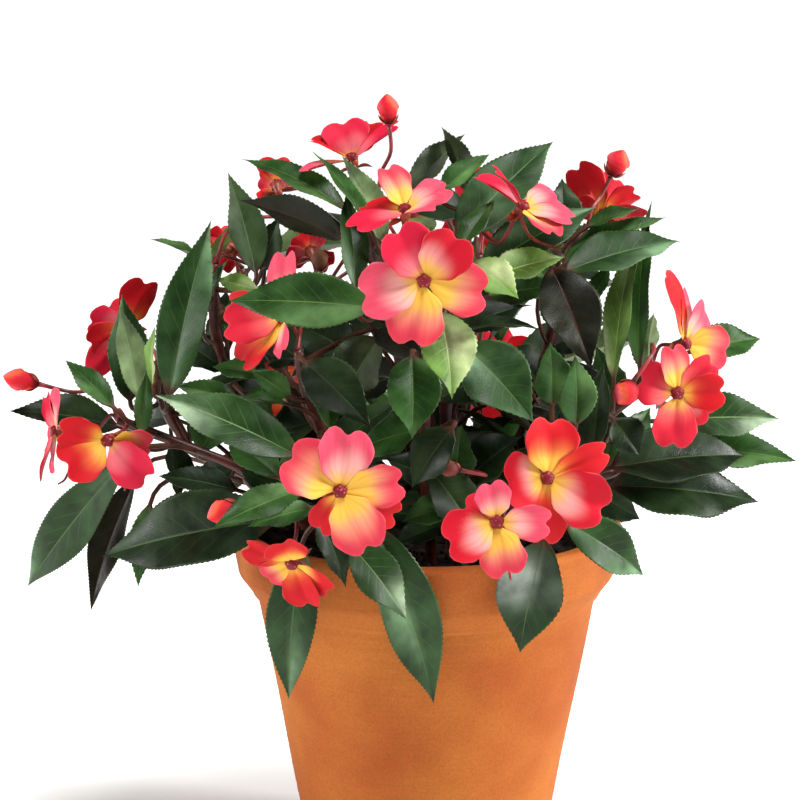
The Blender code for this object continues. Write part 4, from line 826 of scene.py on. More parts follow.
def place_leaf(stem, leaf, way):
    """The first shift of a leaf, and way for its stalk, that are clear of all other pieces."""
    shifts = SHIFTS + SPARE_SHIFTS
    tries = sorted(((h, t) for h in shifts for t in shifts), key=lambda s: (abs(s[0]) + abs(s[1]), s))
    for shrink in SHRINKS:
        for heel_shift, tip_shift in tries:
            moved = shifted_leaf(leaf, heel_shift, tip_shift, shrink)
            back = (moved["heel"] - moved["tip"]) * STALK_BACK
            for drop in STALK_DROPS:
                moved["start"] = nearest_on(way, moved["heel"] + back - Vector((0, 0, drop)))
                if drop == STALK_DROPS[0] and blade_blocked(moved):
                    break
                if settle(stem, moved):
                    return moved
    return None


# %% Room for a flower stalk
def twig_way(start, foot, facing, bulge):
    """The way of a flower stalk: a cubic bow that leaves the stem upwards and meets the calyx."""
    span = (foot - start).length
    first = start + Vector((0, 0, 1)) * span * (TWIG_RISE + bulge)
    last = foot - facing * span * TWIG_MEET
    pieces = 3 if span < LONG_TWIG else 4
    way = [start * (1 - t) ** 3 + first * 3 * t * (1 - t) ** 2
           + last * 3 * t * t * (1 - t) + foot * t ** 3 for t in (k / pieces for k in range(pieces + 1))]
    if span > SHORT_TWIG:
        way[-2] = way[-1] - facing * (way[-1] - way[-2]).length
    return way


def place_twig(stem, way, mark, foot, facing):
    """A flower stalk from the marked point of the stem that is clear of all other pieces."""
    back = turn_round(stem).transposed()
    marked = min(way[2:], key=lambda p: math.dist(in_picture(back @ p), mark))
    near = nearest_on(way, foot)
    for share in TWIG_STARTS:
        start = nearest_on(way, marked.lerp(near, share))
        for bulge in TWIG_BULGES:
            twig = twig_way(start, foot, facing, bulge)
            skins = [rod_skin(a, b, TWIG_RADIUS + CLEAR) for a, b in zip(twig, twig[1:])]
            first = rod_skin(twig[0].lerp(twig[1], 0.3), twig[1], TWIG_RADIUS + CLEAR)
            if not any(touches(*s, but=((stem, "stem"),)) for s in [first] + skins[1:]):
                for a, b in zip(twig, twig[1:]):
                    keep(stem, "twig", *rod_skin(a, b, TWIG_RADIUS))
                return twig
    return None


# %% Room for a bloom or bud
def flower_row(row, stem):
    """A bloom or bud in the world: its place, the way it faces, its tips and their widths."""
    _, mark, facing, stalk_mark, tips = row
    place, turn = crown(*mark), turn_round(stem)
    return {"place": turn @ place, "facing": facing and turn @ Vector(facing).normalized(),
            "ray": turn @ (place - EYE).normalized(), "stalk": stalk_mark,
            "tips": [turn @ sight(px, py, place.y + depth * MM) for px, py, depth, _ in tips],
            "widths": [picture_size(width, place) for *_, width in tips]}


def petal_list(bloom):
    """Petals round the eye, each turned a little about its length, so that it lies over the next."""
    facing, eye = bloom["facing"], bloom["place"]
    petals = []
    for tip, width in zip(bloom["tips"], bloom["widths"]):
        axis = (tip - eye).normalized()
        petals.append({"heel": eye + axis * EYE_RADIUS * 0.5, "tip": tip, "width": width,
                       "normal": Matrix.Rotation(PETAL_TWIST, 3, axis) @ square_to(axis, facing)})
    return petals


def spur_way(bloom):
    """The thin spur behind a bloom: it leaves the calyx, hangs and curls up at its end."""
    facing = bloom["facing"]
    down = square_to(facing, SPUR_HANG)
    return [bloom["place"] - facing * behind + down * below for behind, below in SPUR_MARKS]


def flower_skins(flower, extra):
    """Skins of a bloom's petals, calyx and spur, or of a bud, for testing."""
    facing, place = flower["facing"], flower["place"]
    if len(flower["tips"]) == 1:
        return [rod_skin(place, flower["tips"][0], flower["widths"][0] / 2 + extra)]
    skins = [thickened(*petal_mesh(p), PETAL_THICKNESS / 2 + extra) for p in petal_list(flower)]
    back = place - facing * (CALYX_LENGTH - extra)
    skins.append(rod_skin(place + facing * EYE_FRONT, back, EYE_RADIUS + extra))
    way = spur_way(flower)
    return skins + [rod_skin(a, b, SPUR_RADIUS + extra) for a, b in zip(way, way[1:])]


def place_flower(kind, name, row, stem, way):
    """A bloom or bud and its stalk, at the first depth where both are clear."""
    flower = flower_row(row, stem)
    for shift in SHIFTS + SPARE_SHIFTS:
        move = flower["ray"] * shift * MM
        moved = dict(flower, place=flower["place"] + move, tips=[tip + move for tip in flower["tips"]])
        if kind == "bud":
            moved["facing"] = (moved["tips"][0] - moved["place"]).normalized()
        if any(touches(*skin) for skin in flower_skins(moved, CLEAR)):
            continue
        foot = moved["place"] - moved["facing"] * (GAP if kind == "bud" else CALYX_LENGTH + GAP)
        moved["twig"] = place_twig(stem, way, flower["stalk"], foot, moved["facing"])
        if moved["twig"]:
            for skin in flower_skins(moved, 0):
                keep(name, kind, *skin)
            return moved
    return None


# %% Place the whole plant
# Pot, soil and stems come first, then blooms and buds with their stalks, then the leaves
keep("pot", "pot", *turned_skin(pot_profile()))
keep("soil", "soil", *turned_skin(soil_profile()))
ways = {name: stem_way(name) for name in ALL_STEMS}
twigs = {name: [] for name in ALL_STEMS}
for name, way in ways.items():
    for a, b in zip(way[1:], way[2:]):
        keep(name, "stem", *rod_skin(a, b, ROOT_RADIUS))


def place_flowers(kind, table, far_side):
    """All blooms, or all buds, by name, with their stalks among the twigs of their stems."""
    rows = [(name, row, row[0]) for name, row in table.items()]
    rows += [(stem, table[near], stem) for stem, near in far_side.items()]
    flowers = {name: place_flower(kind, name, row, stem, ways[stem]) for name, row, stem in rows}
    for name, _, stem in rows:
        twigs[stem].append(flowers[name]["twig"])
    return flowers


def place_leaves(table):
    """The leaves of a table that find room, by stem."""
    tried = {name: [place_leaf(name, leaf_row(row, name), way) for row in table[near_name(name)]]
             for name, way in ways.items()}
    return {name: [leaf for leaf in found if leaf] for name, found in tried.items()}


blooms = place_flowers("bloom", BLOOMS, FAR_BLOOMS)
buds = place_flowers("bud", BUDS, FAR_BUDS)
leaves = place_leaves(LEAVES)
inner_leaves = place_leaves(INNER_LEAVES)
print(sum(map(len, leaves.values())), "leaves", sum(map(len, inner_leaves.values())), "inner leaves",
      len(blooms), "blooms", len(buds), "buds")

# %% [markdown]
# Deep in the crown the leaves stand too close to be told apart. There each stem tries leaves at
# random heights and turns, and keeps those that are clear of all others and stay within an egg
# inside the crown. They shut off the light behind, so the crown looks as dense as a real one.

# %% Leaves deep in the crown
DEEP_TRIES = 170
DEEP_MOST = 8
DEEP_MIDDLE = np.array([0, 5, 262]) * MM
DEEP_REACH = np.array([128, 118, 108]) * MM
DEEP_LOWEST = 8 * MM
# Least and most of a random leaf's stalk and length in mm, its width as a share of it, its arch
DEEP_STALK = (8, 20)
DEEP_LENGTH = (34, 62)
DEEP_WIDTH = 0.42
DEEP_ARCH = 0.07


def deep_leaf(way, chance):
    """A leaf at a random height and turn of a stem, its upper side upwards with a random roll."""
    start = nearest_on(way, way[1].lerp(way[-1], chance.uniform(0.1, 1.0)))
    turn = chance.uniform(0, 2 * math.pi)
    rise = chance.uniform(-0.3, 0.9)
    roll = chance.uniform(-0.9, 0.9)
    along = Vector((math.cos(turn), math.sin(turn), rise)).normalized()
    heel = start + along * chance.uniform(*DEEP_STALK) * MM
    length = chance.uniform(*DEEP_LENGTH) * MM
    normal = (Vector((0, 0, 1)) - along * along.z).normalized()
    return {"start": start, "heel": heel, "tip": heel + along * length, "width": length * DEEP_WIDTH,
            "normal": Matrix.Rotation(roll, 3, along) @ normal, "arch": DEEP_ARCH, "fold": LEAF_FOLD}


for number, (name, way) in enumerate(ways.items()):
    chance = np.random.default_rng([200, number])
    deep = []
    for _ in range(DEEP_TRIES):
        leaf = deep_leaf(way, chance)
        within = np.linalg.norm((np.array(leaf["tip"]) - DEEP_MIDDLE) / DEEP_REACH) < 1
        high_enough = leaf["tip"].z >= SOIL_TOP + DEEP_LOWEST
        if within and high_enough and not blade_blocked(leaf) and settle(name, leaf):
            deep.append(leaf)
        if len(deep) == DEEP_MOST:
            break
    inner_leaves[name] += deep
print(sum(map(len, inner_leaves.values())), "inner leaves in all")

# %% [markdown]
# Every visible surface is a closed grid: rows along a leaf, a petal or a stalk, and in each row a
# ring of points round it. Where a ring shrinks to one point its points are merged, which closes
# the end. The sign of the enclosed volume tells which way the faces have to turn.

# %% Faces of a ring grid
def outward(points):
    """Quads between neighbouring rings, turned so that the enclosed volume is positive."""
    rows, ring = points.shape[:2]
    row, column = np.meshgrid(np.arange(rows - 1), np.arange(ring), indexing="ij")
    beside = (column + 1) % ring
    quads = np.stack([row * ring + column, row * ring + beside,
                      (row + 1) * ring + beside, (row + 1) * ring + column], -1).reshape(-1, 4)
    flat = points.reshape(-1, 3) - points.mean(axis=(0, 1))
    a, b, c, d = (flat[quads[:, k]] for k in range(4))
    volume = np.einsum("ij,ij->i", a, np.cross(b, c) + np.cross(c, d)).sum()
    return quads if volume > 0 else quads[:, ::-1]


# %% A piece from ring grids
MERGE = 0.001 * MM
made = {}
stands_for = {}


def piece(name, grids, finishes, nodes):
    """One object from closed ring grids. Each grid has points, and may have uv, tint and rib."""
    sizes = [grid["points"].shape[0] * grid["points"].shape[1] for grid in grids]
    quads = [outward(grid["points"]) + start for grid, start in zip(grids, np.cumsum([0] + sizes))]
    order = np.concatenate([np.full(len(q), grid.get("finish", 0)) for q, grid in zip(quads, grids)])
    quads = np.concatenate(quads)
    mesh = bpy.data.meshes.new(name)
    mesh.vertices.add(sum(sizes))
    mesh.vertices.foreach_set("co", np.concatenate([g["points"].reshape(-1) for g in grids]))
    mesh.loops.add(quads.size)
    mesh.loops.foreach_set("vertex_index", quads.reshape(-1))
    mesh.polygons.add(len(quads))
    mesh.polygons.foreach_set("loop_start", np.arange(len(quads)) * 4)
    mesh.update(calc_edges=True)
    mesh.polygons.foreach_set("material_index", order)
    uv = np.concatenate([np.broadcast_to(g.get("uv", 0), (*g["points"].shape[:2], 2)).reshape(-1, 2)
                         for g in grids])
    mesh.uv_layers.new(name="UVMap").data.foreach_set("uv", uv[quads.reshape(-1)].reshape(-1))
    for key in ("tint", "rib"):
        if key in grids[0]:
            colours = np.ones((sum(sizes), 4))
            colours[:, :3] = np.concatenate([np.broadcast_to(g[key], g["points"].shape).reshape(-1, 3)
                                             for g in grids])
            layer = mesh.attributes.new(key, "FLOAT_COLOR", "POINT")
            layer.data.foreach_set("color", colours.reshape(-1))
    shape = bmesh.new()
    shape.from_mesh(mesh)
    bmesh.ops.remove_doubles(shape, verts=shape.verts, dist=MERGE)
    shape.to_mesh(mesh)
    shape.free()
    mesh.shade_smooth()
    obj = bpy.data.objects.new(name, mesh)
    bpy.context.scene.collection.objects.link(obj)
    for finish in finishes:
        mesh.materials.append(finish)
    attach(obj, "root")
    if nodes:
        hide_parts(*nodes)
    for node in nodes:
        stands_for.setdefault(node, []).append(name)
    made[name] = sum(len(face.vertices) - 2 for face in mesh.polygons)
    return obj


# %% [markdown]
# A stalk or stem is a ring carried along a path. The plane in which the path bends most gives
# each ring its two directions, so that the rings never twist.

# %% Tubes and turned pieces
def footed(points, foot=None):
    """Rings after a first one that shrinks to the foot, or to the middle of their first ring."""
    foot = points[:1].mean(axis=1, keepdims=True) if foot is None else np.array(foot)[None, None]
    return np.concatenate([np.repeat(foot, points.shape[1], axis=1), points])


def ease(low, high, x):
    """0 below low, 1 above high, with a smooth step between."""
    t = np.clip((x - low) / (high - low), 0, 1)
    return t * t * (3 - 2 * t)


def unit(vectors):
    """Vectors of length 1."""
    return vectors / np.linalg.norm(vectors, axis=-1, keepdims=True)


def tube_grid(way, radii, sides):
    """Rings of the given radii along a way, with both ends closed to a point."""
    way = np.array(way, float)
    ahead = unit(np.gradient(way, axis=0))
    flat = np.linalg.svd(way - way.mean(axis=0))[2][2]
    side = unit(np.cross(ahead, flat))
    up = np.cross(side, ahead)
    turn = np.linspace(0, 2 * math.pi, sides, endpoint=False)[:, None]
    rings = side[:, None] * np.cos(turn) + up[:, None] * np.sin(turn)
    points = way[:, None] + rings * np.asarray(radii, float)[:, None, None]
    return footed(footed(points, way[0])[::-1], way[-1])[::-1]


def turned_grid(place, axis, radii, heights, sides=1):
    """Rings about an axis; radii is one number a ring, or one for each point of each ring."""
    axis = np.array(axis, float)
    side = unit(np.cross(axis, (0.31, 0.22, 0.93) if abs(axis[2]) < 0.9 else (1, 0, 0)))
    up = np.cross(axis, side)
    radii = np.asarray(radii, float)
    if radii.ndim == 1:
        radii = np.repeat(radii[:, None], sides, axis=1)
    turn = np.linspace(0, 2 * math.pi, radii.shape[1], endpoint=False)
    round_axis = side * np.cos(turn)[:, None] + up * np.sin(turn)[:, None]
    heights = np.asarray(heights, float)[:, None, None]
    return np.array(place, float) + round_axis * radii[..., None] + axis * heights


# %% [markdown]
# Materials start from what the real surface is. One function turns the usual hex colours into
# the linear light that the renderer adds up, and one adds a node with its settings and links.

# %% Colours and nodes
def linear(code):
    """Linear red, green and blue of an sRGB hex colour."""
    srgb = np.array([int(code[k:k + 2], 16) for k in (1, 3, 5)]) / 255
    return np.where(srgb <= 0.04045, srgb / 12.92, ((srgb + 0.055) / 1.055) ** 2.4)


def mix(a, b, share):
    """From colour a to colour b by a share at each point."""
    return a + (b - a) * np.asarray(share)[..., None]


def feed(node, inputs):
    """Gives inputs, by name or in their order, a number, a hex colour, a socket or a node's value."""
    for key, value in inputs.items() if isinstance(inputs, dict) else enumerate(inputs):
        if isinstance(value, bpy.types.Node):
            value = next(socket for socket in value.outputs if socket.enabled)
        if isinstance(value, bpy.types.NodeSocket):
            node.id_data.links.new(value, node.inputs[key])
        else:
            node.inputs[key].default_value = (*linear(value), 1) if isinstance(value, str) else value


def add(finish, kind, inputs=(), **settings):
    """A node of a finish, with its settings and inputs."""
    node = finish.node_tree.nodes.new("ShaderNode" + kind)
    for key, value in settings.items():
        setattr(node, key, value)
    feed(node, inputs)
    return node


def new_finish(name, **constants):
    """A material and its shader with these constants, as words with _ for a space."""
    finish = bpy.data.materials.new(name)
    finish.use_nodes = True
    shader = finish.node_tree.nodes["Principled BSDF"]
    feed(shader, {key.replace("_", " "): value for key, value in constants.items()})
    return finish, shader


def blotches(finish, size, detail, low, high, dark, light):
    """The piece's own coordinates, a noise in them of a size, and two colours that it parts."""
    spot = add(finish, "TexCoord").outputs["Object"]
    noise = add(finish, "TexNoise", {"Vector": spot, "Scale": 1 / size, "Detail": detail})
    share = add(finish, "MapRange", (noise, low, high))
    return spot, noise, add(finish, "Mix", {0: share, 6: dark, 7: light}, data_type="RGBA")


print("mid grey:", linear("#808080").round(3))

# %% [markdown]
# A busy lizzie's leaf is thin and fleshy, with a waxy skin. Its veins run forward from the midrib
# and show as thin pale lines, its margin is finely toothed. The veins are drawn from the leaf's
# own u and v, so they bend with the leaf.

# %% Leaf skin
# The inputs of Map Range are its value, the range that it has, and the range that it gets
SIDE_VEINS = 9
VEIN_LEAN = 0.2
leaf_skin, shader = new_finish("waxy_leaf_skin", Roughness=0.42, IOR=1.4, Specular_IOR_Level=0.25)
leaf_uv = add(leaf_skin, "UVMap", uv_map="UVMap")
along = add(leaf_skin, "SeparateXYZ", (leaf_uv,))
across = add(leaf_skin, "Math", (along.outputs["Y"],), operation="ABSOLUTE")
forward = add(leaf_skin, "Math", (across, -VEIN_LEAN, along), operation="MULTIPLY_ADD")
spread = add(leaf_skin, "Math", (forward, SIDE_VEINS), operation="MULTIPLY")
nearest = add(leaf_skin, "Math", (spread, 0.5), operation="PINGPONG")
veins = add(leaf_skin, "MapRange", (nearest, 0, 0.075, 1, 0), interpolation_type="SMOOTHSTEP")
fading = add(leaf_skin, "MapRange", (across, 0.35, 0.95, 0.2, 0))
side_veins = add(leaf_skin, "Math", (veins, fading), operation="MULTIPLY")
midrib = add(leaf_skin, "MapRange", (across, 0.008, 0.036, 0.7, 0), interpolation_type="SMOOTHSTEP")
lines = add(leaf_skin, "Math", (side_veins, midrib), operation="MAXIMUM")
tint = add(leaf_skin, "Attribute", attribute_name="tint")
rib = add(leaf_skin, "Attribute", attribute_name="rib")
spot = add(leaf_skin, "TexCoord").outputs["Object"]

# %% Leaf skin, its patches and its fine network
# Patches of 12 mm, and a network of cells of 1.1 mm, coarser than the real one so that it shows
patches = add(leaf_skin, "TexNoise", {"Vector": spot, "Scale": 1 / 0.012, "Detail": 3})
patch_share = add(leaf_skin, "MapRange", (patches, 0.3, 0.75, 0.5, 1.5))
patched = add(leaf_skin, "VectorMath", {0: tint, "Scale": patch_share}, operation="SCALE")
veined = add(leaf_skin, "Mix", {0: lines, 6: patched, 7: rib}, data_type="RGBA")
cells = add(leaf_skin, "TexVoronoi", {"Vector": spot, "Scale": 1 / 0.0011}, feature="DISTANCE_TO_EDGE")
relief = add(leaf_skin, "Math", (lines, -1.2, cells), operation="MULTIPLY_ADD")
bump = add(leaf_skin, "Bump", {"Strength": 0.35, "Distance": 0.25 * MM, "Height": relief})
gloss = add(leaf_skin, "MapRange", (patches, 0.3, 0.7, 0.28, 0.5))
feed(shader, {"Base Color": veined, "Normal": bump, "Roughness": gloss})
print("veins every", round(1 / SIDE_VEINS, 2), "of a leaf's length")

# %% [markdown]
# Young stems of this plant are fleshy and glassy, dark red-brown where they get light and
# greener in the shade. The thin flower stalks are brighter red.

# %% Stem skins
def stem_finish(name, light, dark, coat):
    """A watery stem skin: two colours in soft blotches of about 8 mm with fine long flecks."""
    finish, skin = new_finish(name, Roughness=0.4, IOR=1.42, Coat_Weight=coat, Coat_Roughness=0.25)
    spot, _, base = blotches(finish, 8 * MM, 4, 0.35, 0.65, dark, light)
    fleck = add(finish, "TexNoise", {"Vector": spot, "Scale": 1 / 0.0012})
    rise = add(finish, "Bump", {"Strength": 0.2, "Distance": 0.2 * MM, "Height": fleck})
    feed(skin, {"Base Color": base, "Normal": rise})
    return finish


stem_skin = stem_finish("fleshy_stem_skin", "#5e2a20", "#2c1512", 0.1)
stalk_skin = stem_finish("flower_stalk_skin", "#922c2e", "#5e1c1e", 0.1)
sepal_skin = stem_finish("sepal_and_spur_skin", "#a8442e", "#6a2a1c", 0)
print("stem skins:", stem_skin.name, stalk_skin.name, sepal_skin.name)

# %% [markdown]
# A petal is a thin silky sheet. Colour lies in it in fine streaks that fan out from the claw,
# and some light comes through it, so a little of it is scattered beneath the skin.

# %% Petal skin
def petal_finish(name, streaks, deepen):
    """Silky petal: the point colours with finer streaks along u, in a deeper shade."""
    finish, skin = new_finish(name, Roughness=0.6, IOR=1.4, Specular_IOR_Level=0.25,
                              Subsurface_Weight=0.1, Subsurface_Radius=(1, 0.35, 0.25),
                              Subsurface_Scale=1.2 * MM)
    flat = add(finish, "UVMap", uv_map="UVMap")
    fan = add(finish, "Mapping", {"Vector": flat, "Scale": (1.3, streaks, 1)})
    streak = add(finish, "TexNoise", {"Vector": fan, "Scale": 1, "Detail": 4})
    share = add(finish, "MapRange", (streak, 0.42, 0.68, 0, 0.3))
    colour = add(finish, "Attribute", attribute_name="tint")
    deep = add(finish, "Mix", {0: 1, 6: colour, 7: deepen}, data_type="RGBA", blend_type="MULTIPLY")
    base = add(finish, "Mix", {0: share, 6: colour, 7: deep}, data_type="RGBA")
    rise = add(finish, "Bump", {"Strength": 0.15, "Distance": 0.2 * MM, "Height": streak})
    feed(skin, {"Base Color": base, "Normal": rise})
    return finish


petal_skin = petal_finish("silky_petal", 7, "#ff9098")
bud_skin = petal_finish("folded_bud_petal", 9, "#ff9a70")
print("petal skins:", petal_skin.name, bud_skin.name)

# %% [markdown]
# In the middle of a bloom the anthers form a small waxy cap, dark crimson with a few pale grains.

# %% Anther cap
anther_skin, shader = new_finish("anther_cap", Roughness=0.5, Specular_IOR_Level=0.3)
spot = add(anther_skin, "TexCoord").outputs["Object"]
grains = add(anther_skin, "TexVoronoi", {"Vector": spot, "Scale": 1 / 0.0016})
pale = add(anther_skin, "MapRange", (grains, 0.16, 0.26, 0.75, 0))
cap = add(anther_skin, "Mix", {0: pale, 6: "#74081a", 7: "#d87880"}, data_type="RGBA")
rise = add(anther_skin, "Bump", {"Strength": 0.5, "Distance": 0.3 * MM, "Height": grains})
feed(shader, {"Base Color": cap, "Normal": rise})
print("grains of 1.6 mm")

# %% [markdown]
# The pot is terracotta: fired red clay, unglazed, so it is matt and a little dusty. Grains of
# grog speckle it, and the firing leaves soft clouds of lighter and darker orange.

# %% Terracotta
# Clouds of 70 mm, and grog of 1.1 mm
clay, shader = new_finish("fired_red_clay", Roughness=0.82, IOR=1.5, Specular_IOR_Level=0.2)
spot, _, clouded = blotches(clay, 70 * MM, 3, 0.35, 0.65, "#9e4e1e", "#b4682b")
grog = add(clay, "TexNoise", {"Vector": spot, "Scale": 1 / 0.0011, "Detail": 2})
speckle = add(clay, "MapRange", (grog, 0.3, 0.7, 0.86, 1.1))
speckled = add(clay, "VectorMath", {0: clouded, "Scale": speckle}, operation="SCALE")
rise = add(clay, "Bump", {"Strength": 0.3, "Distance": 0.3 * MM, "Height": grog})
feed(shader, {"Base Color": speckled, "Normal": rise})

# %% Potting soil
# Peat and bark: nearly black when moist, with brown fibres of 2.5 mm, and no gloss
peat, shader = new_finish("moist_potting_soil", Roughness=0.95)
_, fibre, brown = blotches(peat, 2.5 * MM, 5, 0.45, 0.7, "#1c130d", "#4a3422")
rise = add(peat, "Bump", {"Strength": 0.8, "Distance": 1 * MM, "Height": fibre})
feed(shader, {"Base Color": brown, "Normal": rise})
print("clay and soil:", clay.name, peat.name)

# %% [markdown]
# The leaves. Each has a look of its own: dark, dark with a blue-green painted highlight, middle green,
# young and yellow-green, brown-green with a red rib as from beneath, pale at its tip, partly its own
# colour and partly a painted highlight, or dark with a whitish painted glint. Every look lays a lighter
# painted highlight on one half of the blade. A word of letters gives the look of each leaf of a stem,
# in the order of its table. A capital moves the painted highlight to the leaf's other half.

# %% Looks of leaves
LEAF_LOOKS = {
    "far_left": "dmmsum", "left_up": "sspymd", "left_mid": "msymddd", "low_left": "pdmmd",
    "front_left": "dpSs", "mid_left": "dmmmmd", "centre": "ymsmy", "top_left": "mupmsdmdd",
    "top_right": "dmsmsysddd", "right_top": "usmmdmdd", "right_mid": "ympdpmmd", "right_low": "dd",
    "front_right": "Gsmmd", "inner": "dmdmd",
}
# Each look: skin, painted highlight colour, share of the painted highlight, underside, veins
LOOKS = {
    "d": ("#12220c", "#2f4524", 0.5, "#343f26", "#3f5a2a"),
    "s": ("#1c3612", "#6c8c66", 0.85, "#3b4f2e", "#5a7544"),
    "m": ("#234416", "#587c44", 0.7, "#465e30", "#5f7f3a"),
    "y": ("#557530", "#b2c088", 0.9, "#788f4a", "#a5b86c"),
    "u": ("#12140a", "#22260f", 0.4, "#1c1e0e", "#4f1b14"),
    "p": ("#26421c", "#9cb290", 0.95, "#72875a", "#7d9a62"),
    # g: dark, with a whitish painted glint
    "g": ("#1a3412", "#c0d0c2", 0.95, "#3f5430", "#5a7544"),
}
# Leaves within the crown take mostly the darker looks, as painted shade deep inside it
INNER_LOOKS = "dmdu"
# How sharply the painted highlight gives way from one half of a leaf to the other
HIGHLIGHT_EDGE = 4
STALK_COLOUR = linear("#4c2c20")
MARGIN_COLOUR = linear("#64784a")
print("leaf looks:", "".join(LOOKS))

# %% [markdown]
# A leaf is one closed skin with its stalk. Rows stand in pairs, a notch and a point, so the
# margin gets its forward teeth. Across, the ring goes over the top from edge to edge and back
# beneath. Between the side veins the blade swells, its edges wave a little, and beneath it the
# midrib stands out as the stalk's own continuation.

# %% Make a leaf
TOOTH_PITCH = 2.5 * MM
INNER_PITCH = 2 * TOOTH_PITCH
TOOTH_DEPTH = 0.3 * MM
BLADE_HALF = 0.24 * MM
SHOWN_STALK = (1.15 * MM, 0.85 * MM)
SWELL = 0.4 * MM
WAVE = 0.045
RIB_REACH = 1.1 * MM
RIB_SUNK = 0.3 * MM
RIB_BELOW = 0.75 * MM


def ring_across(half):
    """Places across a sheet, over its top and back beneath, and 1 or -1 for above or beneath."""
    across = np.array([-v for v in reversed(half)] + [0] + half)
    above = np.concatenate([np.ones(len(across)), -np.ones(len(across) - 2)])
    return np.concatenate([across, across[-2:0:-1]]), above


RING_V, ABOVE = ring_across([0.07, 0.25, 0.48, 0.72, 0.92, 1])
ON_MARGIN = np.abs(RING_V) == 1


def leaf_rows(length, pitch):
    """Places along the blade: for each tooth a notch and, three quarters on, its point."""
    teeth = max(6, round(length / pitch))
    notch = np.arange(teeth) / teeth
    u = np.sort(np.concatenate([notch, notch + 0.75 / teeth]))
    point = np.tile([-1.0, 1.0], teeth)
    return np.append(u, 1), np.append(point * ease(0.06, 0.16, u) * ease(1, 0.95, u), 0)


def blade_grid(leaf, chance, pitch):
    """The blade: the leaf formula, with toothed edges, swollen fields, waves and a midrib below."""
    length = (leaf["tip"] - leaf["heel"]).length
    u, tooth = leaf_rows(length, pitch)
    u = np.repeat(u[:, None], len(RING_V), axis=1)
    v = np.broadcast_to(RING_V, u.shape)
    half = np.maximum(0.5 * leaf["width"] * np.sin(np.pi * u ** 0.8) ** (0.85 + 0.5 * u), 1 * MM)
    toothed = v * (1 + tooth[:, None] * ON_MARGIN * TOOTH_DEPTH / half)
    base = leaf_surface(leaf, u, toothed)
    _, _, side, normal, _ = axes(leaf)
    fold = leaf["fold"]
    lift = normal * math.cos(fold) - side * np.clip(v / 0.15, -1, 1)[..., None] * math.sin(fold)
    fields = np.abs(np.sin(np.pi * SIDE_VEINS * (u - VEIN_LEAN * np.abs(v)))) ** 0.7
    swell = SWELL * fields * np.sin(np.pi * np.abs(v)) * np.sin(np.pi * u)
    phase = chance.uniform(0, 2 * math.pi, 2)
    waves = chance.uniform(1.6, 2.6)
    edge = np.sin(2 * np.pi * waves * u + np.where(v > 0, phase[0], phase[1]))
    wave = WAVE * leaf["width"] * v ** 2 * edge * np.sin(np.pi * u) ** 0.5
    thick = BLADE_HALF + (SHOWN_STALK[1] - BLADE_HALF) * ease(0.1, 0, u)
    rib = np.exp(-(v * half / RIB_REACH) ** 2) * (1 - u) * ease(0, 0.1, u)
    relief = ABOVE * thick * np.sqrt(1 - v ** 2) - rib * np.where(ABOVE > 0, RIB_SUNK, RIB_BELOW)
    return base + lift * (swell + wave + relief * np.sqrt(1 - u ** 8))[..., None]


def stalk_grid(leaf):
    """The stalk: an oval ring carried along a bent path from inside the stem to the blade's heel."""
    start = np.array(leaf["start"])
    heel, _, across, _, _ = axes(leaf)
    span = np.linalg.norm(heel - start)
    at_heel, past_heel = leaf_surface(leaf, [0, 0.02], [0, 0])
    bend = heel - unit(past_heel - at_heel) * span * STALK_BOW
    t = np.linspace(0, 1, 9)[:-1, None]
    way = start * (1 - t) ** 2 + bend * 2 * t * (1 - t) + heel * t ** 2
    ahead = unit(2 * (bend - start) * (1 - t) + 2 * (heel - bend) * t + 1e-9)
    side = unit(across - ahead * (ahead @ across)[:, None])
    up = np.cross(side, ahead)
    wide, high = (size * (1 + 0.35 * (1 - t)) for size in SHOWN_STALK)
    oval = (side * wide)[:, None] * RING_V[:, None]
    oval = oval + (up * high)[:, None] * (ABOVE * np.sqrt(1 - RING_V ** 2))[:, None]
    return footed(way[:, None] + oval, way[0])


def leaf_grid(leaf, look, chance, pitch=TOOTH_PITCH):
    """Blade and stalk as one ring grid, with u and v, its skin colours with a painted highlight, and its vein
    colours.
    """
    stalk, blade = stalk_grid(leaf), blade_grid(leaf, chance, pitch)
    points = np.concatenate([stalk, blade])
    length = (leaf["tip"] - leaf["heel"]).length
    u = np.concatenate([np.full(len(stalk), -0.05), leaf_rows(length, pitch)[0]])[:, None]
    u = np.repeat(u, len(RING_V), axis=1)
    v = np.broadcast_to(RING_V, u.shape)
    # A capital letter puts the painted highlight on the other half of the leaf
    half = HIGHLIGHT_EDGE if look.isupper() else -HIGHLIGHT_EDGE
    look = look.lower()
    skin, highlight_colour, share, under, veins_colour = LOOKS[look]
    bright = chance.uniform(0.85, 1.15)
    drift = chance.uniform(0, 2 * math.pi)
    # Where the painted highlight lies: a soft wave along the leaf, towards the tip for p, one spot of painted
    # glint for g
    highlight_patch = 0.5 + 0.5 * np.sin(2 * np.pi * (0.8 * u + 0.22 * v) + drift)
    highlight_patch = {"p": ease(0.45, 0.85, u), "g": np.exp(-((u - 0.36) / 0.16) ** 2)}.get(look, highlight_patch ** 1.5)
    # The painted highlight is stronger on one half of the blade, as if the light fell on that half
    highlit_half = 0.55 + 0.45 * np.clip(chance.choice([half, -half]) * v, -1, 1)
    top = mix(linear(skin), linear(highlight_colour), share * highlight_patch * highlit_half)
    below = mix(linear(under), linear(skin), 0.25 * highlight_patch)
    tint = np.where((ABOVE > 0)[:, None], top, below) * bright
    tint = mix(tint, MARGIN_COLOUR, 0.25 * ON_MARGIN * ease(0.1, 0.2, u))
    tint = mix(tint, STALK_COLOUR, ease(0.1, 0.0, u))
    rib = mix(linear(veins_colour) + 0 * tint, STALK_COLOUR, ease(0.45, 0.0, u) * 0.5)
    return {"points": points, "uv": np.stack([u, v], -1), "tint": tint, "rib": rib}


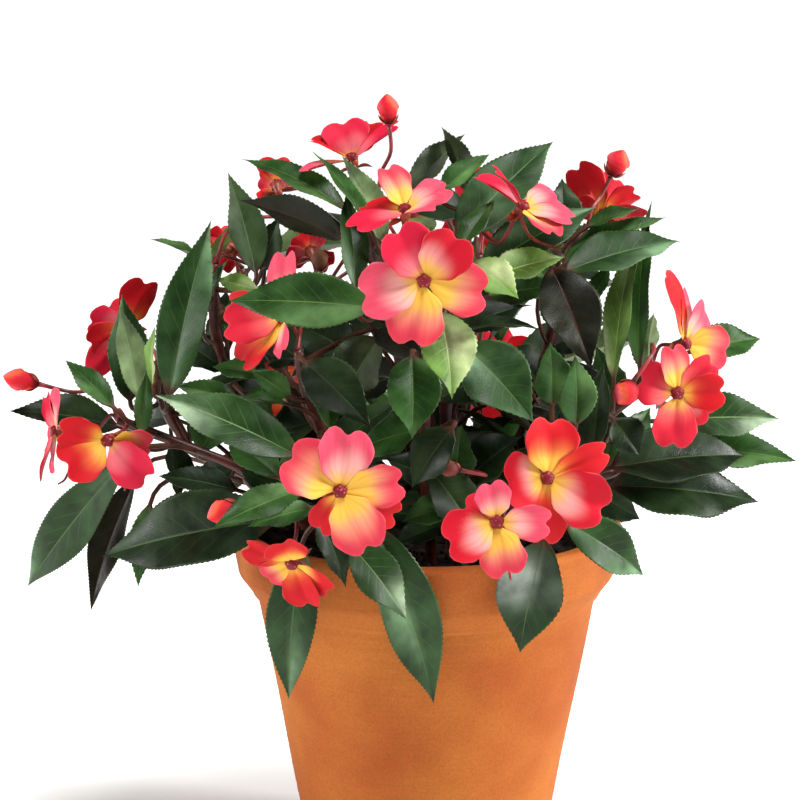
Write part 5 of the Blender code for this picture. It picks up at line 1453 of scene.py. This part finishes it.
# %% All leaves
for number, name in enumerate(ALL_STEMS):
    looks = LEAF_LOOKS[near_name(name)]
    grids = [leaf_grid(leaf, looks[k], np.random.default_rng([number, k]))
             for k, leaf in enumerate(leaves[name])]
    piece("leaves_" + name, grids, [leaf_skin], ["stem_" + name])
    grids = [leaf_grid(leaf, INNER_LOOKS[k % 4], np.random.default_rng([100 + number, k]), INNER_PITCH)
             for k, leaf in enumerate(inner_leaves[name])]
    piece("inner_leaves_" + name, grids, [leaf_skin], [])
print("leaf triangles:", sum(made.values()))

# %% [markdown]
# The shoots: one tapered tube for each stem, swollen like a finger joint wherever a stalk leaves
# it, as on the real plant. Flower stalks are thinner tubes on the bow that the rule found.

# %% All shoots
STEM_SIDES = 12
STALK_SIDES = 8
JOINT = 0.9 * MM
JOINT_REACH = 4 * MM


def joint_swell(way, joints):
    """How much wider the stem is at each point of its way for the joints near it."""
    apart = np.linalg.norm(way[:, None] - np.array(joints)[None], axis=-1)
    return JOINT * np.exp(-(apart / JOINT_REACH) ** 2).max(axis=1)


for name, way in ways.items():
    fine = np.array(smooth(way, 6))
    share = np.linspace(0, 1, len(fine))
    joints = [leaf["start"] for leaf in leaves[name] + inner_leaves[name]]
    joints += [twig[0] for twig in twigs[name]]
    radii = ROOT_RADIUS + (STEM_TIP_RADIUS - ROOT_RADIUS) * share
    grids = [{"points": tube_grid(fine, radii + joint_swell(fine, joints), STEM_SIDES), "finish": 0}]
    for twig in twigs[name]:
        bow = np.array(smooth(twig, 5))
        ends = np.abs(np.linspace(-1, 1, len(bow))) ** 8
        grids.append({"points": tube_grid(bow, (0.95 + 0.45 * ends) * MM, STALK_SIDES), "finish": 1})
    piece("shoot_" + name, grids, [stem_skin, stalk_skin], ["stem_" + name])
print("shoots:", len(ways))

# %% [markdown]
# The blooms. Each petal is broad, notched at its end and creased along its middle. It is golden at
# the claw, then pale pink, then coral to deep red, and no two are alike. Letters again give the
# look of each petal: red, coral, yellow, pale, or half and half.

# %% Looks of petals
BLOOM_LOOKS = {
    "centre": "khyyp", "upper_centre": "yrkpp", "upper_right": "kkppy", "top": "krrkp",
    "top_right": "rcrcrr", "front_left": "ypyyrr", "front_middle": "pchyp", "front_right": "orhrh",
    "right": "cycrhc", "right_back": "rppy", "left": "roky", "left_edge": "kpkpk",
    "low_left": "royro", "mid_left": "prcop",
}
OTHER_BLOOMS = "rckrcr"
CLAW = linear("#e9b848")
# Each look: where the gold ends, the colour after it, the outer colour, where that starts, halves
PETAL_LOOKS = {
    "r": (0.20, "#d84e2c", "#bd0d1a", 0.34, 0.1),
    "o": (0.36, "#e0723a", "#bd0f1c", 0.5, 0.2),
    "c": (0.18, "#de5c5a", "#c41a32", 0.45, 0.3),
    "k": (0.04, "#da6a74", "#c61438", 0.42, 0.5),
    "y": (0.46, "#e69074", "#d0384c", 0.66, 0.2),
    "p": (0.24, "#e8a69e", "#d44a62", 0.52, 0.45),
    "h": (0.28, "#e69a96", "#bf0e26", 0.54, 0.9),
}
print("petal looks:", "".join(PETAL_LOOKS))

# %% Make a petal
PETAL_ROWS = np.sin(np.linspace(0, math.pi / 2, 18)) ** 1.15
PETAL_V, PETAL_TOP = ring_across([0.1, 0.24, 0.42, 0.62, 0.8, 0.93, 1])
PETAL_HALF = 0.25 * MM
CREASE = 0.9 * MM
# A thin painted highlight along a petal's end and sides
EDGE_HIGHLIGHT = linear("#ee8c80")


def petal_colours(u, v, look, chance):
    """Gold, then pale, then the outer colour, each edge of a zone bent across the petal, and a painted
    highlight along its end and sides.
    """
    gold_end, pale, outer, outer_start, halves = PETAL_LOOKS[look]
    gold_end = gold_end + chance.uniform(-0.05, 0.05)
    lean = chance.choice([-1, 1])
    past_gold = ease(gold_end - 0.14, gold_end + 0.2, u + 0.08 * v ** 2)
    colour = mix(CLAW + 0 * u[..., None], linear(pale), past_gold)
    outwards = u + 0.1 * v ** 2 + halves * 0.45 * np.clip(lean * v + 0.1, 0, 1)
    outwards = outwards + 0.05 * np.sin(3.1 * v + chance.uniform(0, 6))
    colour = mix(colour, linear(outer), ease(outer_start - 0.18, outer_start + 0.3, outwards))
    # The painted highlight along the end and the sides
    edge = np.maximum(ease(0.965, 1.0, u), ease(0.95, 1.0, np.abs(v)) * ease(0.3, 0.6, u))
    return mix(colour, EDGE_HIGHLIGHT, 0.14 * edge)


def petal_grid(petal, look, chance):
    """The petal formula with a crease, ruffles that grow to the end, and a thin closed edge."""
    u, v = np.meshgrid(PETAL_ROWS, PETAL_V, indexing="ij")
    crease = -CREASE * np.exp(-(v / 0.16) ** 2) * np.sin(np.pi * np.minimum(u * 1.1, 1)) ** 0.8
    phase = chance.uniform(0, 2 * math.pi, 3)
    size = petal["width"] / (28 * MM)
    ripples = 0.9 * np.sin(4.2 * v + phase[0]) + 0.5 * np.sin(7 * v + 5 * u + phase[1])
    ruffle = size * MM * u ** 2 * ripples
    fold = size * 0.7 * MM * u * np.sin(5 * u + phase[2]) * v
    lobe = 1 + 0.02 * np.sin(2.5 * v + phase[1]) * u ** 2
    thin = PETAL_TOP * PETAL_HALF * np.sqrt(np.clip(1 - v ** 2, 0, 1)) * np.sqrt(1 - u ** 6)
    _, _, side, normal, _ = axes(petal)
    broader = 0.11 * petal["width"] * v * np.exp(-((u - 0.34) / 0.2) ** 2)
    base = petal_surface(petal, u * lobe, v) + side * broader[..., None]
    points = footed(base + normal * (crease + ruffle + fold + thin)[..., None])
    u, v = (np.concatenate([a[:1], a]) for a in (u, v))
    return {"points": points, "uv": np.stack([u, v], -1), "tint": petal_colours(u, v, look, chance)}


# %% [markdown]
# Behind the petals sits a small calyx with two pointed sepals. From it hangs the thin spur that
# this flower is known by, hooked at its end. The anther cap stands in front.

# %% Make a bloom
CAP_ROWS = 9
CAP_SIDES = 20
CAP_RADIUS = 3.3 * MM
CAP_HEIGHT = 3.6 * MM
CALYX_SIDES = 14


def cap_grid(bloom):
    """The anther cap: a dome with five soft lobes, from its foot up to its closed top."""
    t = np.linspace(0, 1, CAP_ROWS)[:, None]
    turn = np.linspace(0, 2 * math.pi, CAP_SIDES, endpoint=False)
    dome = np.cos(np.pi / 2 * t) ** 0.55 * (t > 0)
    radii = CAP_RADIUS * dome * (1 + 0.12 * np.cos(5 * turn) * (1 - t * 0.4))
    heights = CAP_HEIGHT * np.sin(np.pi / 2 * t[:, 0])
    return turned_grid(bloom["place"], bloom["facing"], radii, heights)


def calyx_grid(bloom):
    """The calyx: a tapered cup from behind the petals to the flower stalk, closed at both ends."""
    radii = np.array([0, 0.9, 1.0, 0.93, 0.8, 0.66, 0.56, 0]) * EYE_RADIUS
    heights = np.array([0.6, 0.6, 0, -1.4, -3.0, -4.8, -6.2, -6.4]) * MM
    return turned_grid(bloom["place"], bloom["facing"], radii, heights, CALYX_SIDES)


def sepal_sheets(bloom):
    """Two small pointed sepals that spread from the calyx to both sides."""
    facing, eye = bloom["facing"], bloom["place"]
    level = facing.cross(SPUR_HANG).normalized()
    for way in (level, -level):
        heel = eye - facing * 4.5 * MM + way * 1.5 * MM
        tip = heel + way * 8 * MM - facing * 2 * MM
        normal = square_to((tip - heel).normalized(), facing)
        yield {"heel": heel, "tip": tip, "normal": normal, "width": 5 * MM, "arch": 0.1, "fold": 0.3}


def sepal_grid(sepal):
    """A sepal: the leaf formula in small, thick in its middle and closed at its edges."""
    u, v = np.meshgrid(np.linspace(0, 1, 9), RING_V[::2], indexing="ij")
    slim = ABOVE[::2] * 0.35 * MM * np.sqrt(1 - v ** 2) * (1 - u ** 4)
    return footed(leaf_surface(sepal, u, v) + np.array(sepal["normal"]) * slim[..., None])


def spur_grid(bloom):
    """The spur: a thin tube through the spur's marks that narrows and ends in a small hook."""
    way = spur_way(bloom)
    hook = way[2] + (way[2] - way[1]) * 0.3 + bloom["facing"] * 3 * MM
    fine = np.array(smooth([bloom["place"]] + way + [hook], 5))
    return tube_grid(fine, np.linspace(1.25, 0.45, len(fine)) * MM, STALK_SIDES)


def plain(points, finish, colour="#b5523c"):
    """A grid that needs no pattern of its own."""
    return {"points": points, "finish": finish, "tint": linear(colour)}


for number, (name, bloom) in enumerate(blooms.items()):
    looks = BLOOM_LOOKS.get(name, OTHER_BLOOMS)
    grids = [petal_grid(petal, looks[k], np.random.default_rng([50 + number, k]))
             for k, petal in enumerate(petal_list(bloom))]
    grids.append(plain(cap_grid(bloom), 1))
    grids.append(plain(calyx_grid(bloom), 2))
    grids.append(plain(spur_grid(bloom), 2))
    grids += [plain(sepal_grid(sepal), 2) for sepal in sepal_sheets(bloom)]
    skins = [petal_skin, anther_skin, sepal_skin]
    piece("flower_" + name, grids, skins, ["bloom_" + name])
print("blooms:", len(blooms))

# %% [markdown]
# A bud is its petals rolled round each other. One turned drop shows that if its radius steps
# down along slanting lines, like the overlaps of a rolled cloth.

# %% All buds
BUD_ROWS = 22
BUD_SIDES = 36
# Foot, side, edge and crown of a bud's petals; the inner ones get darker, browner colours, painted shade deep
# in the crown
BUD_COLOURS = ("#4a0c10", "#c81c2c", "#e06a3c", "#e6707c")
BUDS_IN_PAINTED_SHADE = {"inner_top": ("#2a1a0e", "#6a4430", "#8a6a48", "#8a5c50"),
               "inner": ("#2a120e", "#6e3630", "#9a5a48", "#a0645c")}


def bud_grids(bud, colours):
    """The drop with two slanting overlaps, and the two small sepals that hold its foot."""
    base, axis = bud["place"], bud["facing"]
    length, half = (bud["tips"][0] - base).length, bud["widths"][0] / 2
    t = np.linspace(0, 1, BUD_ROWS)
    outline = np.interp(t, [0, 0.1, 0.2, 0.38, 0.55, 0.72, 0.86, 0.95, 1],
                        [0.34, 0.54, 0.74, 0.95, 1, 0.84, 0.52, 0.24, 0]) * half
    turn = np.linspace(0, 2 * math.pi, BUD_SIDES, endpoint=False)
    lap = (2 * turn[None] / (2 * math.pi) + 0.9 * t[:, None]) % 1
    radii = outline[:, None] * (1.03 - 0.2 * lap * np.sin(np.pi * t[:, None]) ** 0.5)
    points = turned_grid(base, axis, radii, t * length)
    foot_colour, side_colour, edge_colour, crown_colour = (linear(code) for code in colours)
    colour = mix(foot_colour + 0 * points, side_colour, ease(0.02, 0.34, t)[:, None])
    colour = mix(colour, edge_colour, 0.7 * ease(0.1, 0.3, t)[:, None] * ease(0.6, 0.9, lap))
    colour = mix(colour, crown_colour, 0.75 * ease(0.3, 0.8, t)[:, None] * ease(0.45, 0.1, lap))
    uv = np.stack([np.repeat(t[:, None], BUD_SIDES, axis=1), np.repeat(lap[:1], BUD_ROWS, axis=0)], -1)
    drop = {"points": footed(points, base), "finish": 0,
            "tint": np.concatenate([colour[:1], colour]), "uv": np.concatenate([uv[:1], uv])}
    sepals = []
    side = Vector(unit(np.cross(axis, (0.2, 0.9, 0.3))))
    for way in (side, -side):
        heel = base + way * half * 0.3
        tip = base + way * half * 0.95 + axis * length * 0.34
        normal = square_to((tip - heel).normalized(), way)
        sepals.append(plain(sepal_grid({"heel": heel, "tip": tip, "normal": normal, "width": half * 0.9,
                                        "arch": 0.12, "fold": -0.3}), 1))
    return [drop] + sepals


for name, bud in buds.items():
    # Buds deep in the crown take the colours with painted shade
    grids = bud_grids(bud, BUDS_IN_PAINTED_SHADE.get(name, BUD_COLOURS))
    piece("budded_" + name, grids, [bud_skin, sepal_skin], ["bud_" + name])
print("buds:", len(buds))

# %% [markdown]
# A clay pot of this kind is pressed or thrown on a wheel. Its edges are worn round, and faint
# rings run round its wall. The outline is that of the solid, with softened corners.

# %% The pot
POT_SIDES = 144
RESAMPLED = 0.7 * MM
# The rings that the wheel left, each with its height and how far apart its waves are
WHEEL_RINGS = ((0.05 * MM, 2.9 * MM), (0.04 * MM, 7.3 * MM))
DRIFT = 0.25 * MM
BEAD = 0.6 * MM
BEAD_REACH = 0.9 * MM


def softened(profile, step, passes):
    """A profile in short steps, its corners rounded by averaging each point with its neighbours."""
    profile = np.array(profile, float)
    lengths = np.linalg.norm(np.diff(profile, axis=0), axis=1)
    along = np.concatenate([[0], np.cumsum(lengths)])
    at = np.linspace(0, along[-1], int(along[-1] / step))
    line = np.stack([np.interp(at, along, profile[:, k]) for k in (0, 1)], -1)
    for _ in range(passes):
        line[1:-1] = (line[:-2] + 2 * line[1:-1] + line[2:]) / 4
    return line


outline = [corner for corner in pot_profile() if corner[1] != BAND_FOOT + POT_FLARE / 2]
hidden, seen = softened(outline[:4], 5 * MM, 0), softened(outline[3:], RESAMPLED, 2)
line = np.concatenate([hidden, seen[1:]])
turn = np.linspace(0, 2 * math.pi, POT_SIDES, endpoint=False)
radius, height = line[:, :1], line[:, 1:]
rings = sum(high * np.sin(2 * np.pi * height / apart) for high, apart in WHEEL_RINGS)
drift = DRIFT * np.sin(3 * turn + 60 * height) * ease(0.0, 0.02, height)
outside = radius > POT_FOOT_RADIUS + 20 * MM
bead = BEAD * np.exp(-((height - BAND_FOOT) / BEAD_REACH) ** 2) * outside
worn = radius + (rings + drift) * ease(0.02, 0.04, radius) + bead
worn[[0, -1]] = 0
pot_points = turned_grid((0, 0, 0), (0, 0, 1), worn, line[:, 1])
piece("clay_pot", [{"points": pot_points}], [clay], ["pot"])
print("pot triangles:", made["clay_pot"])

# %% [markdown]
# Potting soil is a loose heap of peat crumbs. Random heights on grids of several sizes, blended
# smoothly, give the clods, and loose crumbs lie on top.

# %% The soil
SOIL_ROWS = 64
SOIL_SIDES = 180
# The clods, each size with its cell and its height
CLODS = ((14 * MM, 3 * MM), (6 * MM, 2.4 * MM), (3 * MM, 1.2 * MM))
CLOD_GRID = 63


def clods(x, y, cell, chance):
    """Smooth random heights between 0 and 1: a grid of random values, eased from cell to cell."""
    values = chance.random((CLOD_GRID + 1, CLOD_GRID + 1))
    column, row = x / cell + CLOD_GRID // 2, y / cell + CLOD_GRID // 2
    i, j = (np.floor(place).astype(int) % CLOD_GRID for place in (column, row))
    s, t = ease(0, 1, column % 1), ease(0, 1, row % 1)
    low = values[i, j] * (1 - s) + values[i + 1, j] * s
    high = values[i, j + 1] * (1 - s) + values[i + 1, j + 1] * s
    return low * (1 - t) + high * t


def soil_height(x, y):
    """Height of the soil's surface: three sizes of clods over its level."""
    heaps = (high * (clods(x, y, cell, np.random.default_rng(7)) - 0.5) for cell, high in CLODS)
    return SOIL_TOP + sum(heaps)


soil_rim = inner_radius(SOIL_TOP) - GAP
reach = np.linspace(0, 1, SOIL_ROWS) * soil_rim
ground = turned_grid((0, 0, 0), (0, 0, 1), reach, np.zeros(SOIL_ROWS), SOIL_SIDES)
ground[..., 2] = soil_height(ground[..., 0], ground[..., 1])
ground[0, :, 2] = ground[0, 0, 2]
low = np.array([[inner_radius(BAND_FOOT) - GAP, BAND_FOOT],
                [inner_radius(POT_FLOOR) - GAP, POT_FLOOR + GAP], [0, POT_FLOOR + GAP]])
below = turned_grid((0, 0, 0), (0, 0, 1), low[:, 0], low[:, 1], SOIL_SIDES)
piece("soil_bed", [{"points": np.concatenate([ground, below])}], [peat], ["soil"])
print("soil triangles:", made["soil_bed"])

# %% Loose crumbs
CRUMBS = 420
chance = np.random.default_rng(11)
far = soil_rim * 0.97 * np.sqrt(chance.random(CRUMBS))
angle = chance.uniform(0, 2 * math.pi, CRUMBS)
sizes = chance.uniform(0.7, 2.2, CRUMBS) * MM
crumb_places = np.stack([far * np.cos(angle), far * np.sin(angle), np.zeros(CRUMBS)], -1)
crumb_places[:, 2] = soil_height(crumb_places[:, 0], crumb_places[:, 1]) + sizes * 0.3
lumps = []
for where, size in zip(crumb_places, sizes):
    bulge = size * np.array([0, 0.8, 1, 0.75, 0])[:, None] * chance.uniform(0.75, 1.25, (5, 6))
    bulge[[0, -1]] = 0
    heights = size * np.array([-0.8, -0.5, 0, 0.45, 0.7])
    lumps.append({"points": turned_grid(where, unit(chance.normal(size=3)), bulge, heights)})
piece("soil_crumbs", lumps, [peat], [])
print("crumbs:", CRUMBS)

# %% [markdown]
# The finer pieces must stand where their solids stand, so each is measured against its node.

# %% Compare with the solids
farthest = 0
for node, names in stands_for.items():
    shown = np.concatenate([[v.co for v in bpy.data.objects[name].data.vertices] for name in names])
    low_corner, high_corner = (np.array(corner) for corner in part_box(node))
    over = max((low_corner - shown.min(axis=0)).max(), (shown.max(axis=0) - high_corner).max())
    farthest = max(farthest, over)
print("farthest out of its solid's box:", round(farthest / MM, 1), "mm")
print("triangles in all:", sum(made.values()))

# %% [markdown]
# The studio: a pale floor, a large soft light from the right and front, a weaker one from the
# left, and a bright plain surround, as for a catalogue picture. The camera stands where
# the sight lines meet, and its lens follows from the picture's scale.

# %% Floor and lights
floor_mesh = bpy.data.meshes.new("studio_floor")
floor_mesh.from_pydata([(-30, -30, 0), (30, -30, 0), (30, 30, 0), (-30, 30, 0)], [], [(0, 1, 2, 3)])
floor = bpy.data.objects.new("studio_floor", floor_mesh)
bpy.context.scene.collection.objects.link(floor)
paper, shader = new_finish("pale_studio_paper", Roughness=0.9, Base_Color="#f4f4f2")
floor_mesh.materials.append(paper)

surround = bpy.data.worlds.new("bright_surround")
bpy.context.scene.world = surround
surround.use_nodes = True
feed(surround.node_tree.nodes["Background"], {"Color": "#ffffff", "Strength": 0.25})
bpy.context.scene.view_settings.view_transform = "Standard"


def soft_light(name, place, power, size):
    """A square soft light that looks at the crown."""
    lamp = bpy.data.lights.new(name, "AREA")
    lamp.energy = power
    lamp.size = size
    obj = bpy.data.objects.new(name, lamp)
    obj.location = place
    obj.rotation_euler = (VIEW_AIM - Vector(place)).to_track_quat("-Z", "Y").to_euler()
    bpy.context.scene.collection.objects.link(obj)


soft_light("key_light", (1.95, -0.2, 1.05), 56, 0.6)
soft_light("fill_light", (-1.9, -0.3, 0.7), 26, 0.6)
overhead = bpy.data.objects.new("overhead_light", bpy.data.lights.new("overhead_light", "SUN"))
overhead.data.energy = 3.3
overhead.data.angle = math.radians(24)
overhead.rotation_euler = (math.radians(16), math.radians(10), 0)
bpy.context.scene.collection.objects.link(overhead)
print("lights: key, fill and overhead")

# %% Camera
camera = bpy.data.objects.new("camera", bpy.data.cameras.new("camera"))
camera.data.sensor_width = 36
camera.data.lens = PIXELS_DEEP * 36 / (2 * PICTURE_MIDDLE)
camera.location = EYE
camera.rotation_euler = FORWARD.to_track_quat("-Z", "Y").to_euler()
bpy.context.scene.collection.objects.link(camera)
bpy.context.scene.camera = camera
print("lens:", round(camera.data.lens, 1), "mm")

# %% Update the scene
bpy.context.view_layer.update()
